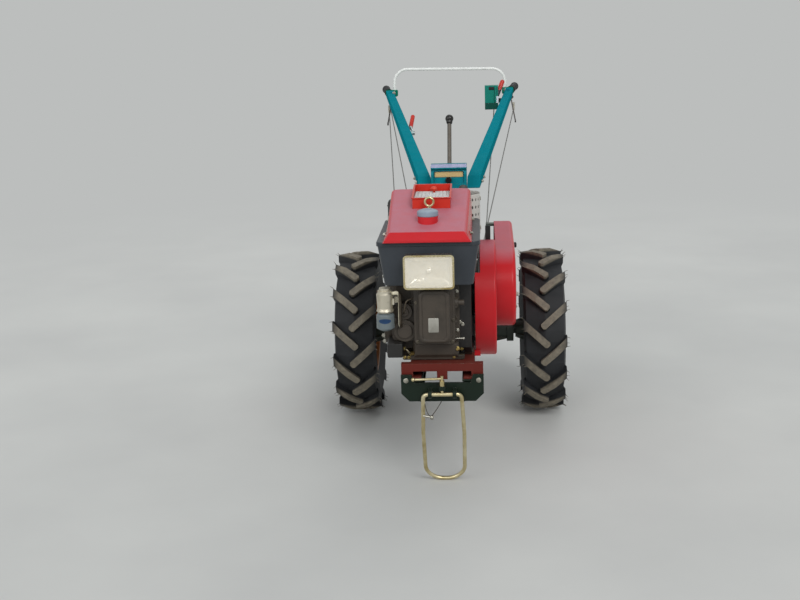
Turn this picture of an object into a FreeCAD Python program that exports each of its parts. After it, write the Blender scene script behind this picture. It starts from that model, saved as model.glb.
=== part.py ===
"""Walking tractor with a one-cylinder water-cooled diesel, standing on its two wheels and front stand.

Millimetres, +Z up, ground at Z 0. The tractor faces -Y and its own left side is at +X. The origin is
on the ground at the middle of the whole footprint, so every piece is drawn about the wheel axle and
moved by axle_y when it is written. Heights are built up from the axle, and the pieces on the left side
from the frame outward, each on the one before it.
"""
import FreeCAD, Part
import math
import os

V = FreeCAD.Vector

# Lengths, from the wheel axle forward and back
gearbox_front = 205.0      # axle to the front of the gearbox
gearbox_rear = 150.0
engine_gap = 185.0         # gearbox to the back of the engine's block
block_length = 418.0
head_depth = 72.0
bumper_gap = 38.0          # cylinder head to the bumper
eye_reach = 40.0           # bumper to the front of the stand's eyes
block_rear = gearbox_front + engine_gap
block_front = block_rear + block_length
head_front = block_front + head_depth
bumper_front = head_front + bumper_gap
front_reach = bumper_front + eye_reach
rear_reach = 1230.0        # axle to the ends of the grips
axle_y = (front_reach - rear_reach) / 2

# Overall layout
frame_x = -8.0             # middle of frame and gearbox
engine_x = -46.0           # middle of the hopper on the engine
seat_gap = 0.3             # between pieces that rest on each other along curves
turn_gap = 1.0             # between a turning shaft and its bore

# Tyres, size 6.00-12
tyre_radius = 315.0
tyre_width = 160.0
tyre_flats = 42            # flat facets round the tyre, three to a lug
lug_height = 22.0
lugs_a_side = 14
lug_angle = 42.0           # between a lug and the axle
lug_width = 24.0
lug_draft = 4.0            # how much wider a lug is at its foot, on each side
lug_crown = 35.0           # from the middle of the tread to where a lug slopes off
lug_slope = 13.0           # drop from there to the shoulder
lug_overlap = 12.0         # how far a lug reaches past the middle of the tread
lug_turn = 3.0             # first lug from the top of the wheel, degrees

# Frame
rail_top = tyre_radius + 77.0
rail_height = 60.0
rail_flange = 40.0
rail_wall = 6.0
rail_half = 104.0          # middle of the frame to the outside of a rail

# Front stand and bumper
eye_radius = 13.0
eye_width = 12.0
stand_y = -front_reach + eye_radius
bumper_width = 266.0
bumper_bottom = rail_top - 70.0
bumper_top = rail_top + 19.0
bumper_middle_top = rail_top - 8.0
bumper_corner = 26.0
bumper_wall = 8.0
bumper_ear = 34.0
stand_z = bumper_bottom + 32.0
stand_lean = 24.0          # degrees, legs back towards the wheels
stand_radius = 6.5
stand_width = 136.0
stand_spread = 148.0
stand_corner = 16.0
stand_foot_radius = 60.0
clamp_radius = 5.0
clamp_boss_z = stand_z + 14.0
clamp_handle_z = stand_z + 52.0
clamp_handle_length = 92.0

# Engine bracket
bracket_height = 44.0
bracket_wall = 8.0
bracket_bar_width = 36.0
bracket_half = 132.0       # middle of the frame to the end of the front plate
bracket_top = rail_top + bracket_height
bracket_lip = 9.0          # front plate above the bars
bracket_shelf = 74.0       # depth of the shelf behind the front plate
window_inner = 17.0        # middle of the frame to a window
window_outer = 94.0
window_top = rail_top + 27.0

# Engine: a cylinder lying forward, its crankshaft across the tractor
head_left = -95.0
head_right = 36.0
head_top = bracket_top + 258.0
head_bottom = bracket_top + 66.0
block_left = -155.0
block_top = head_top
crank_y = -(block_front - 288.0)    # crankshaft
crank_z = bracket_top + 134.0
nose_left = -104.0         # the case's low nose under the head
nose_right = 46.0
nose_reach = 34.0
nose_foot_left = -139.0    # the wide foot of the nose
nose_foot_right = 64.0
foot_height = 16.0
case_cover_depth = 40.0    # gear case on the right side
# y, z and radius of the gear case's round ends
case_front_circle = (-(block_front - 106.0), bracket_top + 98.0, 76.0)
case_rear_circle = (crank_y + 10.0, crank_z - 6.0, 112.0)
pump_radius = 36.0
pump_left = -204.0
pump_z = bracket_top + 103.0
pump_top = bracket_top + 190.0
pump_reach = 40.0          # forward of the block
cover_width = 99.0
cover_height = 173.0
cover_depth = 32.0
cover_bottom = bracket_top + 78.0
cover_rim = 11.0
cover_panel = 2.5          # depth of the panel pressed into the rocker cover

# Flywheel and belt drive, from the rails outward
guard_wall = 3.0
flywheel_guard_inner = frame_x + rail_half + 4.0
block_right = flywheel_guard_inner - 12.0
flywheel_x = flywheel_guard_inner + 10.0
flywheel_width = 48.0
flywheel_radius = 189.0
flywheel_rim = 38.0
guard_inner = flywheel_x + flywheel_width + 14.0   # between the flywheel's guard and the belts' guard
belt_count = 3
belt_pitch = 19.0
belt_width = 15.0
belt_thickness = 10.0
belt_proud = 0.5           # belts above the rims of their pulleys
groove_depth = 12.0
groove_slope = math.tan(math.radians(19.0))
engine_pulley_radius = 70.0
clutch_pulley_radius = 120.0
pulley_half = belt_count * belt_pitch / 2 + 3.0
belt_x = guard_inner + pulley_half
guard_outer = belt_x + pulley_half + guard_wall + 2.0
guard_edge = 14.0          # radius of the guard's rolled edge
clutch_y = -150.0
clutch_z = tyre_radius + 260.0
guard_front_circle = (crank_y + 20.0, crank_z + 33.0, 137.0)    # y, z and radius of the belt guard's ends
guard_rear_circle = (clutch_y + 10.0, clutch_z + 26.0, 167.0)

# Wheels, outside the belt guard
wheel_gap = 37.0           # belt guard to tyre
wheel_x = guard_outer + wheel_gap + tyre_width / 2
rim_radius = 156.0
rim_half = 61.0
rim_lip = 12.0
rim_wall = 5.0
rim_well = 24.0            # depth of the drop centre
rim_holes = 8
rim_hole_radius = 10.0
bead_half = 52.0
hub_barrel_radius = 34.0
hub_flange_radius = 70.0
hub_pilot_radius = 58.0
hub_ribs = 6
axle_radius = 20.0

# Gearbox and axle housings
gearbox_width = 200.0
gearbox_top = tyre_radius + 325.0
gearbox_lid = 8.0
gearbox_belly = 105.0      # radius of the final drive about the axle
gearbox_ribs = [-150.0, -62.0, 40.0]
flange_z = tyre_radius + 80.0    # middle of the rear flange's bolts
flange_depth = 12.0
flange_spacing_x = 110.0
flange_spacing_z = 90.0
flange_hole_radius = 6.5
hitch_pin_radius = 12.5
hitch_plate = 12.0
hitch_slot = 44.0
steering_shaft_ends = [V(-200.0, 20.0, gearbox_top - 120.0), V(-118.0, 20.0, gearbox_top - 40.0),
                       V(120.0, 5.0, gearbox_top - 36.0)]
clutch_arm_end = V(138.0, clutch_y + 40.0, clutch_z + 80.0)
housing_radius = 40.0
housing_end = wheel_x - 111.0
housing_flange_radius = 72.0

# Hopper, tank and lamp
hopper_front = head_front - 12.0
hopper_length = 428.0
hopper_rear = hopper_front - hopper_length
hopper_half_low = 143.0    # the housing widens upward
hopper_half_high = 162.0
hopper_rim_half = 166.0
hopper_rim = 14.0
hopper_bottom = block_top
hopper_top = hopper_bottom + 142.0
tank_x = engine_x - 2.0
tank_front = hopper_front + 14.0
tank_rear = hopper_rear
tank_half = 142.0
tank_crown_front = 129.0   # half width of the crown
tank_crown_rear = 138.0
tank_slope_start = hopper_top + 31.0
tank_slope_end = hopper_top + 114.0
tank_lip = 8.0             # upright edge at the front
cap_set_back = 112.0       # front of the tank to the cap's middle
cap_y = -(tank_front - cap_set_back)
cap_radius = 34.5
cap_height = 22.0
neck_height = 18.0
tray_x = engine_x + 6.0
tray_half = 63.0
cap_to_tray = 115.0        # cap's middle to the tray, with the lifting ring between them
tray_margin = 38.0         # tray to the back of the housing
tray_front = tank_front - cap_set_back - cap_to_tray
tray_length = tray_front - hopper_rear - tray_margin
tray_depth = 42.0
tray_rim_z = hopper_top + 108.0
tray_rim_rise = 20.0       # the rim's back is this much higher
tray_wall = 3.0
ring_gap = 26.0            # lifting ring to the tray
ring_radius = 14.0
ring_wire = 4.0
lamp_x = engine_x + 4.0
lamp_reach = hopper_front + 82.0
lamp_width = 160.0
lamp_height = 110.0
lamp_middle_z = hopper_bottom + 59.0
lamp_bezel = 6.0
lamp_depth = 34.0
lens_bulge = 7.0

# Filter, air cleaner and silencer
filter_x = -187.0
filter_y = -(head_front + 2.0)
filter_radius = 29.0
filter_neck_z = hopper_bottom - 84.0
filter_height = 58.0
cleaner_x = -149.0
cleaner_radius = 58.0
cleaner_top = hopper_bottom + 205.0
muffler_x = 62.0
muffler_radius = 52.0
muffler_top = hopper_bottom + 197.0
stack_gap = 7.0            # housing to the beads of the canisters
stack_bead = 2.0
stack_y = -hopper_rear + stack_gap + cleaner_radius + stack_bead
stack_bottom = hopper_bottom + 9.0
stack_pipe = 17.0

# Handles
dash_bottom = gearbox_top + 223.0
dash_height = 102.0
arm_foot = V(3.0, 60.0, dash_bottom + 26.0)         # middle between the feet of the arms
arm_foot_half = 95.0
arm_end = V(-12.0, rear_reach - 180.0, arm_foot.z + 279.0)
arm_end_half = 277.0
arm_foot_width = 51.4
dash_half = arm_foot_half - arm_foot_width / 2 - seat_gap
arm_foot_height = 44.0
arm_foot_lean = 14.0       # the foot's face leans back with the arm
arm_end_width = 34.0
arm_end_height = 34.0
grip_radius = 19.0
grip_length = 120.0
grip_run = V(30.0, 180.0, 12.0)    # outward, back and up from the end of an arm
handle_tube_radius = 12.5
crossbar_radius = 6.5
crossbar_middle = -11.0
crossbar_half = arm_end_half - 20.0
crossbar_top = arm_end.z + 110.0
crossbar_tilt = 9.0        # its right end is higher
crossbar_corner = 60.0
crossbar_y = arm_end.y + 30.0
crossbar_foot = arm_end.z + 18.0
rod_radius = 2.2
lever_top = V(-4.0, arm_end.y - 10.0, arm_end.z - 28.0)   # middle between the tops of the steering levers
lever_half = arm_end_half - 1.0
lever_drop = V(19.0, -40.0, -104.0)    # outward, back and up from the top of a lever to its tip
lever_thick = 6.0
lever_wide = 18.0
throttle_share = 0.545     # places along an arm
clutch_share = 0.9

# The end face of a leaning grip stays within rear_reach
grip_end_y = rear_reach - grip_radius * math.hypot(grip_run.x, grip_run.z) / grip_run.Length

# How far the bumper's stops stand out to meet the leaning legs at their lower edge
lean = math.radians(stand_lean)
stop_drop = stand_z - bumper_bottom
stop_depth = -stand_y - bumper_front - (stand_radius + seat_gap + stop_drop * math.sin(lean)) / math.cos(lean)

parts = {}


# Helpers
def box(x0, x1, y0, y1, z0, z1):
    """Block between two corners, given in any order."""
    return Part.makeBox(abs(x1 - x0), abs(y1 - y0), abs(z1 - z0), V(min(x0, x1), min(y0, y1), min(z0, z1)))


def rod(start, end, radius):
    """Round bar between two points."""
    run = end - start
    return Part.makeCylinder(radius, run.Length, start, run)


def disc(x0, x1, y, z, radius):
    """Round disc whose axis lies along X."""
    return rod(V(min(x0, x1), y, z), V(max(x0, x1), y, z), radius)


def side_profile(points, x0, x1):
    """Outline of (y, z) points, stretched from x0 to x1."""
    wire = Part.makePolygon([V(x0, y, z) for y, z in points + points[:1]])
    return Part.Face(wire).extrude(V(x1 - x0, 0, 0))


def front_profile(points, y0, y1):
    """Outline of (x, z) points, stretched from y0 to y1."""
    wire = Part.makePolygon([V(x, y0, z) for x, z in points + points[:1]])
    return Part.Face(wire).extrude(V(0, y1 - y0, 0))


def round_along(shape, direction, radius, pick=None):
    """Rounds the straight edges that run along one direction."""
    chosen = []
    for edge in shape.Edges:
        if not isinstance(edge.Curve, (Part.Line, Part.LineSegment)):
            continue
        run = edge.Vertexes[-1].Point - edge.Vertexes[0].Point
        if run.Length < 1e-6 or run.cross(direction).Length > 1e-3 * run.Length:
            continue
        if pick is None or pick(edge.CenterOfMass):
            chosen.append(edge)
    return shape.makeFillet(radius, chosen)


def round_at(shape, direction, place, radius):
    """Rounds every edge that lies in one plane square to a direction."""
    chosen = [e for e in shape.Edges if all(abs(v.Point.dot(direction) - place) < 0.01 for v in e.Vertexes)
              and abs(e.CenterOfMass.dot(direction) - place) < 0.01]
    return shape.makeFillet(radius, chosen)


def turned(points, centre, axis=V(1, 0, 0), out=V(0, 0, 1)):
    """Solid of revolution about an axis through centre, from (along, radius) points."""
    flat = [centre + axis * along + out * radius for along, radius in points]
    face = Part.Face(Part.makePolygon(flat + flat[:1]))
    return face.revolve(centre, axis, 360)


def upright(points, centre):
    """Solid of revolution about a vertical axis, from (height, radius) points."""
    return turned(points, centre, V(0, 0, 1), V(1, 0, 0))


def round_rectangle(x0, x1, y0, y1, z, radius):
    """Level rectangle with round corners."""
    low_x, high_x, low_y, high_y = x0 + radius, x1 - radius, y0 + radius, y1 - radius
    corners = [(high_x, low_y), (high_x, high_y), (low_x, high_y), (low_x, low_y)]
    edges = []
    for i, (x, y) in enumerate(corners):
        def spot(corner, degrees):
            turn = math.radians(degrees)
            return V(corner[0] + radius * math.cos(turn), corner[1] + radius * math.sin(turn), z)

        start = 90 * i - 90
        first, middle, last = [spot((x, y), start + turn) for turn in (0, 45, 90)]
        edges.append(Part.Arc(first, middle, last).toShape())
        edges.append(Part.LineSegment(last, spot(corners[(i + 1) % 4], start + 90)).toShape())
    return Part.Wire(edges)


def rectangle(x0, x1, z0, z1, y):
    """Corners of an upright rectangle that faces forward."""
    return [V(x0, y, z0), V(x1, y, z0), V(x1, y, z1), V(x0, y, z1)]


def bent_path(points, radii):
    """Straight runs joined by tangent arcs, one radius for each inner point."""
    edges = []
    start = points[0]
    for before, corner, after, radius in zip(points, points[1:], points[2:], radii):
        back = (before - corner).normalize()
        ahead = (after - corner).normalize()
        half_turn = (math.pi - back.getAngle(ahead)) / 2
        cut = radius * math.tan(half_turn)
        inward = (back + ahead).normalize()
        first = corner + back * cut
        last = corner + ahead * cut
        middle = corner + inward * (radius / math.cos(half_turn) - radius)
        if (first - start).Length > 1e-6:
            edges.append(Part.LineSegment(start, first).toShape())
        edges.append(Part.Arc(first, middle, last).toShape())
        start = last
    if (points[-1] - start).Length > 1e-6:
        edges.append(Part.LineSegment(start, points[-1]).toShape())
    return Part.Wire(edges)


def bent_bar(points, radii, radius):
    """Round bar along a bent path."""
    section = Part.Wire(Part.Circle(points[0], points[1] - points[0], radius).toShape())
    return bent_path(points, radii).makePipeShell([section], True, False)


def longest(shape):
    """The largest solid of a cut shape."""
    return max(shape.Solids, key=lambda solid: solid.Volume)


def solid_from(faces):
    """Solid from the flat faces that enclose it, each given by its corners."""
    shell = Part.makeShell([Part.Face(Part.makePolygon(corners + corners[:1])) for corners in faces])
    shell.sewShape()
    solid = Part.makeSolid(shell)
    if solid.Volume < 0:
        solid.reverse()
    return solid


def frustum(first, last):
    """Flat-sided solid between two outlines whose sides run the same ways."""
    faces = [first, last]
    for i in range(len(first)):
        k = (i + 1) % len(first)
        faces.append([first[i], first[k], last[k], last[i]])
    return solid_from(faces)


def keep(name, shape):
    """Stores one piece, drawn about the axle, in the tractor's frame."""
    moved = shape.copy()
    moved.translate(V(0, axle_y, 0))
    parts[name] = moved


# Frame, bumper and engine bracket
def rail(side):
    """One channel rail with its flanges turned inward."""
    outer = frame_x + side * rail_half
    inner = outer - side * rail_flange
    web = outer - side * rail_wall
    z0 = rail_top - rail_height
    y0 = -bumper_front + bumper_wall
    y1 = -gearbox_front - rail_wall
    full = box(outer, inner, y0, y1, z0, rail_top)
    return full.cut(box(web, inner, y0, y1, z0 + rail_wall, rail_top - rail_wall))


def frame_rails():
    """Two rails, a cross member under the engine and the gusseted end plate at the gearbox."""
    z0 = rail_top - rail_height
    half = rail_half - rail_wall
    plate_y = -gearbox_front - rail_wall
    end_plate = box(frame_x - rail_half, frame_x + rail_half, plate_y, -gearbox_front, z0, rail_top + 60)
    cross = box(frame_x - half, frame_x + half, crank_y - 30, crank_y + 30, z0, z0 + rail_wall)
    pieces = [rail(-1), end_plate, cross]
    for side in (-1, 1):
        outer = frame_x + side * rail_half
        pieces.append(side_profile([(plate_y, rail_top), (plate_y, rail_top + 55), (plate_y - 45, rail_top)],
                                   outer, outer - side * rail_wall))
    return rail(1).fuse(pieces).removeSplitter()


def front_bumper():
    """Folded plate with cut corners, raised ears, a lip turned back under it and the stand's fittings."""
    half = bumper_width / 2
    ear = half - bumper_ear
    y0 = -bumper_front
    outline = [(-half, bumper_bottom + bumper_corner), (-half, bumper_top), (-ear, bumper_top),
               (-ear + 8, bumper_middle_top), (ear - 8, bumper_middle_top), (ear, bumper_top),
               (half, bumper_top), (half, bumper_bottom + bumper_corner),
               (half - bumper_corner, bumper_bottom),
               (-half + bumper_corner, bumper_bottom)]
    plate = front_profile([(frame_x + x, z) for x, z in outline], y0, y0 + bumper_wall)
    fittings = [box(frame_x - half + bumper_corner, frame_x + half - bumper_corner, y0 + 2, y0 + 48,
                    bumper_bottom, bumper_bottom + bumper_wall)]
    for side in (-1, 1):
        x = frame_x + side * (stand_width / 2 - stand_corner - stand_radius - eye_width / 2)
        near, far = x - eye_width / 2, x + eye_width / 2
        fittings.append(rod(V(near, stand_y, stand_z), V(far, stand_y, stand_z), eye_radius))
        fittings.append(box(near, far, stand_y, y0 + 1, stand_z - 2, stand_z + eye_radius))
        leg = frame_x + side * (stand_width / 2 - stand_radius + 2)
        fittings.append(box(leg - 8, leg + 8, y0 - stop_depth, y0 + 1, bumper_bottom, bumper_bottom + 12))
    boss = box(frame_x - 10, frame_x + 10, stand_y - 9, y0 + 1, clamp_boss_z, clamp_boss_z + 14)
    bore = disc(frame_x - half, frame_x + half, stand_y, stand_z, stand_radius + seat_gap)
    thread = rod(V(frame_x, stand_y, clamp_boss_z - 1), V(frame_x, stand_y, clamp_boss_z + 15),
                 clamp_radius + seat_gap)
    return plate.fuse([boss] + fittings).cut([bore, thread]).removeSplitter()


def engine_bracket():
    """Subframe of two channel bars on the rails, a shelf and a front plate with two windows."""
    y0 = -bumper_front + bumper_wall + 4
    y1 = -block_rear + 20
    x0, x1 = frame_x - bracket_half, frame_x + bracket_half
    front = box(x0, x1, y0, y0 + bracket_wall, rail_top, bracket_top + bracket_lip)
    lip = box(x0, x1, y0, y0 + 24, bracket_top - 1, bracket_top + bracket_lip)
    shelf = box(frame_x - rail_half, frame_x + rail_half, y0, y0 + bracket_shelf,
                bracket_top - bracket_wall, bracket_top)
    bars = []
    for side in (-1, 1):
        outer = frame_x + side * rail_half
        inner = outer - side * bracket_bar_width
        bar = box(outer, inner, y0, y1, rail_top, bracket_top)
        bars.append(bar.cut(box(outer - side * bracket_wall, inner, y0, y1, rail_top + bracket_wall,
                                bracket_top - bracket_wall)))
        front = front.cut(box(frame_x + side * window_inner, frame_x + side * window_outer, y0 - 1,
                              y0 + bracket_wall + 1, rail_top - 1, window_top))
    return front.fuse([lip, shelf] + bars).removeSplitter()


# Gearbox, axle housings and hitch
def gearbox():
    """Cast case with ribs, a round belly about the axle, a lid and a rear flange."""
    x0 = frame_x - gearbox_width / 2
    x1 = frame_x + gearbox_width / 2
    z = tyre_radius
    outline = [(-gearbox_front, z + 15), (-gearbox_front, gearbox_top - 30),
               (-gearbox_front + 30, gearbox_top), (gearbox_rear - 60, gearbox_top),
               (gearbox_rear, gearbox_top - 110), (gearbox_rear, z - 15), (70, z - 80), (-90, z - 80)]
    case = round_along(side_profile(outline, x0, x1), V(1, 0, 0), 24.0)
    seam = [(-gearbox_front - 6, z + 155), (-gearbox_front - 6, z + 171), (gearbox_rear + 6, z + 171),
            (gearbox_rear + 6, z + 155)]
    castings = [disc(x0 - 12, x1 + 12, 0, z, gearbox_belly),
                side_profile(seam, x0 - 8, x1 + 8),
                box(frame_x - 75, frame_x + 75, gearbox_rear, gearbox_rear + flange_depth,
                    flange_z - 65, flange_z + 65),
                round_along(box(x0 + 14, x1 - 14, -gearbox_front + 34, gearbox_rear - 62, gearbox_top - 1,
                                gearbox_top + gearbox_lid), V(0, 0, 1), 16.0),
                disc(frame_x, guard_inner - 12, clutch_y, clutch_z, 48),
                disc(frame_x, belt_x - pulley_half - 8, clutch_y, clutch_z, 34),
                disc(frame_x, belt_x + pulley_half - 8, clutch_y, clutch_z, 16),
                disc(x0 - 10, frame_x, clutch_y, clutch_z, 42),
                disc(x0 - 10, frame_x, 60, z + 200, 34)]
    for y in gearbox_ribs:
        castings.append(box(x0 - 7, x1 + 7, y - 4, y + 4, z + 30, gearbox_top - 40))
    for end in steering_shaft_ends:
        reach = 8 if end.x > 0 else -8
        castings.append(disc(frame_x, end.x + reach, end.y, end.z, 7))
    arm = clutch_arm_end
    castings.append(box(arm.x - 6, arm.x + 6, arm.y - 18, arm.y + 6, clutch_z + 24, arm.z + 10))
    castings.append(guard_stay())
    case = case.fuse(castings).removeSplitter()
    return case.cut(flange_holes(gearbox_rear - 20, gearbox_rear + flange_depth + 1))


def guard_stay():
    """Bracket that rises from the input shaft's boss and carries the belt guard."""
    x = clutch_arm_end.x + 4
    rear_y, rear_z, rear_r = guard_rear_circle
    top = rear_z + rear_r
    post = box(x, x + 10, clutch_y - 14, clutch_y + 14, clutch_z + 20, top)
    shelf = box(x, guard_inner + 30, clutch_y - 14, clutch_y + 14, top - 12, top)
    return post.fuse(shelf).common(disc(x, guard_inner + 30, rear_y, rear_z, rear_r - guard_wall))


def flange_holes(y0, y1):
    """Four bolt holes of the rear flange."""
    holes = []
    for side in (-1, 1):
        for level in (-1, 1):
            x = frame_x + side * flange_spacing_x / 2
            z = flange_z + level * flange_spacing_z / 2
            holes.append(rod(V(x, y0, z), V(x, y1, z), flange_hole_radius))
    return holes


def axle_housing(side):
    """Ribbed cast tube with a flange at the gearbox and a bearing cap at the wheel."""
    root = frame_x + side * (gearbox_width / 2 + 12 + seat_gap)
    length = abs(side * housing_end - root)
    bore = axle_radius + turn_gap
    outline = [(0, 0), (0, housing_flange_radius), (12, housing_flange_radius), (12, 54),
               (34, housing_radius), (length - 26, housing_radius), (length - 26, 50), (length, 50),
               (length, bore), (length - 60, bore), (length - 60, 0)]
    centre = V(root, 0, tyre_radius)
    housing = turned([(side * x, r) for x, r in outline], centre)
    ribs = []
    for i in range(4):
        rib_end = root + side * (length - 24)
        rib = front_profile([(root, tyre_radius), (root + side * 6, tyre_radius + 68),
                             (root + side * 14, tyre_radius + 68), (rib_end, tyre_radius + 44),
                             (rib_end, tyre_radius)], -4, 4)
        ribs.append(rib.rotate(centre, V(1, 0, 0), 45 + 90 * i))
    hollow = disc(side * (housing_end - 60), side * (housing_end + 1), 0, tyre_radius, bore)
    return housing.fuse(ribs).cut(hollow).removeSplitter()


def rear_hitch():
    """Bolted plate that carries two rounded jaws with a bore through both for a drawbar pin."""
    y0 = gearbox_rear + flange_depth
    hitch = box(frame_x - 68, frame_x + 68, y0, y0 + 10, flange_z - 60, flange_z + 60)
    jaws = []
    for low in (flange_z - hitch_slot / 2 - hitch_plate - 16, flange_z + hitch_slot / 2 - 16):
        jaw = box(frame_x - 40, frame_x + 40, y0, y0 + 78, low, low + hitch_plate)
        jaws.append(round_along(jaw, V(0, 0, 1), 30.0, lambda p: p.y > y0 + 40))
    for side in (-1, 1):
        foot_z = flange_z + 6 + hitch_plate
        jaws.append(side_profile([(y0 + 10, foot_z), (y0 + 10, flange_z + 44), (y0 + 40, foot_z)],
                                 frame_x + side * 40, frame_x + side * 32))
    pin = rod(V(frame_x, y0 + 46, flange_z - 60), V(frame_x, y0 + 46, flange_z + 30), hitch_pin_radius)
    return hitch.fuse(jaws).cut(flange_holes(y0 - 1, y0 + 11) + [pin]).removeSplitter()


# Engine
def crankcase():
    """Cast block with feet on the bracket's bars, a low nose, a gear case and a starting boss."""
    foot_z = bracket_top + 34
    outline = [(-block_front, foot_z), (-block_front, block_top), (-block_rear - 15, block_top),
               (-block_rear, block_top - 50), (-block_rear, foot_z), (-block_rear - 35, bracket_top),
               (-block_front + 35, bracket_top)]
    block = side_profile(outline, block_left, block_right)
    left = block_left - case_cover_depth
    circles = case_front_circle + case_rear_circle
    cover = loop_solid(left, block_left + 1, 0, *circles)
    rim = loop_solid(left - 5, left + 1, -6.0, *circles).cut(loop_solid(left - 6, left + 2, -16.0, *circles))
    nose = [(-block_front + 1, bracket_top + 2), (-block_front - nose_reach + 8, bracket_top + 6),
            (-block_front - nose_reach, bracket_top + 20), (-block_front - nose_reach, bracket_top + 54),
            (-block_front - nose_reach + 12, head_bottom - 1), (-block_front + 1, head_bottom - 1)]
    nose_foot = box(nose_foot_left, nose_foot_right, -block_front - nose_reach + 6, -block_front + 40,
                    bracket_top + 2, bracket_top + foot_height)
    castings = [cover, rim, round_along(side_profile(nose, nose_left, nose_right), V(0, 0, 1), 14.0),
                round_along(nose_foot, V(0, 0, 1), 10.0),
                disc(left - 12, left, crank_y + 30, crank_z - 20, 26),
                disc(left - 19, left, crank_y + 30, crank_z - 20, 17),
                disc(block_right, flywheel_x - 1, crank_y, crank_z, 60)]
    for side in (-1, 1):
        x = frame_x + side * (rail_half - bracket_bar_width / 2)
        castings.append(box(x - 16, x + 16, -block_front + 60, -block_rear - 60,
                            bracket_top, bracket_top + foot_height))
    for share in (0.3, 0.55, 0.8):
        y = -block_front + share * block_length
        castings.append(box(block_left, block_left - 12, y - 4, y + 4, bracket_top + 170, block_top - 8))
        castings.append(box(block_right, block_right + 7, y - 4, y + 4, bracket_top + 40, bracket_top + 110))
    return block.fuse(castings).removeSplitter()


def cylinder_head():
    """Head casting on its flange with the injection pump's gear case beside it and the injector's boss."""
    head = box(head_left, head_right, -head_front, -block_front, head_bottom, head_top)
    head = round_along(head, V(0, 1, 0), 14.0)
    flange = box(head_left - 12, head_right + 14, -block_front - 18, -block_front,
                 head_bottom + 6, head_top - 8)
    face = -block_front - pump_reach
    pump = box(pump_left + 34, head_left + 2, face + 12, -block_front, pump_z - pump_radius, pump_top)
    pump = round_along(pump, V(0, 1, 0), 16.0, lambda p: p.x < head_left - 30)
    castings = [flange, pump]
    bosses = ((pump_left + 40 + pump_radius, pump_z, pump_radius), (head_left - 34, pump_z + 64, 27.0))
    for x, z, radius in bosses:
        castings.append(rod(V(x, -block_front - 1, z), V(x, face, z), radius))
        castings.append(rod(V(x, face + 1, z), V(x, face - 6, z), radius - 12))
    castings.append(disc(pump_left, pump_left + 50, -block_front - pump_reach / 2, pump_z + 30, 15))
    castings.append(disc(head_right, head_right + 10, -head_front + 26, head_bottom + 132, 17))
    castings.append(disc(head_right + 10, head_right + 30, -head_front + 26, head_bottom + 132, 9))
    for level in (0.25, 0.5, 0.75):
        z = head_bottom + level * (head_top - head_bottom)
        castings.append(box(head_right, head_right + 6, -head_front + 8, -block_front - 17, z - 26, z - 20))
    return head.fuse(castings).removeSplitter()


def rocker_cover():
    """Pressed cover with rounded corners, a raised panel edge and a thin flange."""
    x0 = (head_left + head_right) / 2 - cover_width / 2
    x1 = x0 + cover_width
    z1 = cover_bottom + cover_height
    y1 = -head_front
    y0 = y1 - cover_depth
    cover = round_along(box(x0, x1, y0, y1, cover_bottom, z1), V(0, 1, 0), 22.0)
    cover = round_at(cover, V(0, 1, 0), y0, 8.0)
    edge = cover_rim
    panel = box(x0 + edge, x1 - edge, y0 - 1, y0 + cover_panel, cover_bottom + edge, z1 - edge)
    cover = cover.cut(round_along(panel, V(0, 1, 0), 14.0))
    flange = round_along(box(x0 - 7, x1 + 7, y1 - 5, y1, cover_bottom - 7, z1 + 3.5), V(0, 1, 0), 24.0)
    return cover.fuse(flange).removeSplitter()


def grooved(start, radius):
    """Outline of a belt pulley's rim, from (along, radius) points: V-grooves between lands."""
    points = []
    for i in range(belt_count):
        middle = start + 3 + belt_pitch * (i + 0.5)
        top = belt_width / 2 - belt_proud * groove_slope
        foot = top - groove_depth * groove_slope
        points += [(middle - top, radius), (middle - foot, radius - groove_depth),
                   (middle + foot, radius - groove_depth), (middle + top, radius)]
    return points


def flywheel():
    """Heavy rim round a web with holes, and a grooved belt pulley on its outer face."""
    w = flywheel_width
    r = flywheel_radius
    p = engine_pulley_radius
    start = belt_x - pulley_half - flywheel_x
    end = start + 2 * pulley_half
    web = w - 20
    neck = p - groove_depth - 4
    outline = [(0, 0), (0, r - 3), (3, r), (w - 3, r), (w, r - 3), (w, r - flywheel_rim),
               (web, r - flywheel_rim - 6), (web, neck), (start, neck), (start, p)]
    outline += grooved(start, p)
    outline += [(end, p), (end, p - 20), (end - 6, p - 22), (end - 6, 26), (end, 26), (end, 0)]
    wheel = turned(outline, V(flywheel_x, crank_y, crank_z))
    holes = []
    for i in range(6):
        turn = math.radians(60 * i + 15)
        reach = (p + r - flywheel_rim) / 2 + 3
        holes.append(disc(flywheel_x - 1, flywheel_x + w, crank_y + reach * math.cos(turn),
                          crank_z + reach * math.sin(turn), 20))
    return wheel.cut(holes)


# Hopper, tank and lamp
def radiator():
    """Housing round the radiator, wider at its top, with a rolled rim."""
    low = round_rectangle(engine_x - hopper_half_low, engine_x + hopper_half_low,
                          -hopper_front + 4, -hopper_rear, hopper_bottom, 22.0)
    high = round_rectangle(engine_x - hopper_half_high, engine_x + hopper_half_high,
                           -hopper_front + 2, -hopper_rear, hopper_top - hopper_rim, 22.0)
    body = Part.makeLoft([low, high], True, True)
    rim = round_along(box(engine_x - hopper_rim_half, engine_x + hopper_rim_half,
                          -hopper_front, -hopper_rear + 2, hopper_top - hopper_rim, hopper_top), V(0, 0, 1), 24.0)
    rim = round_at(rim, V(0, 0, 1), hopper_top, 4.0)
    return body.fuse(rim).removeSplitter()


def crown_z(y):
    """Height of the tank's crown at one place along it."""
    start = -tank_front + 20
    return tank_slope_start + (y - start) / (-tank_rear - start) * (tank_slope_end - tank_slope_start)


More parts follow.
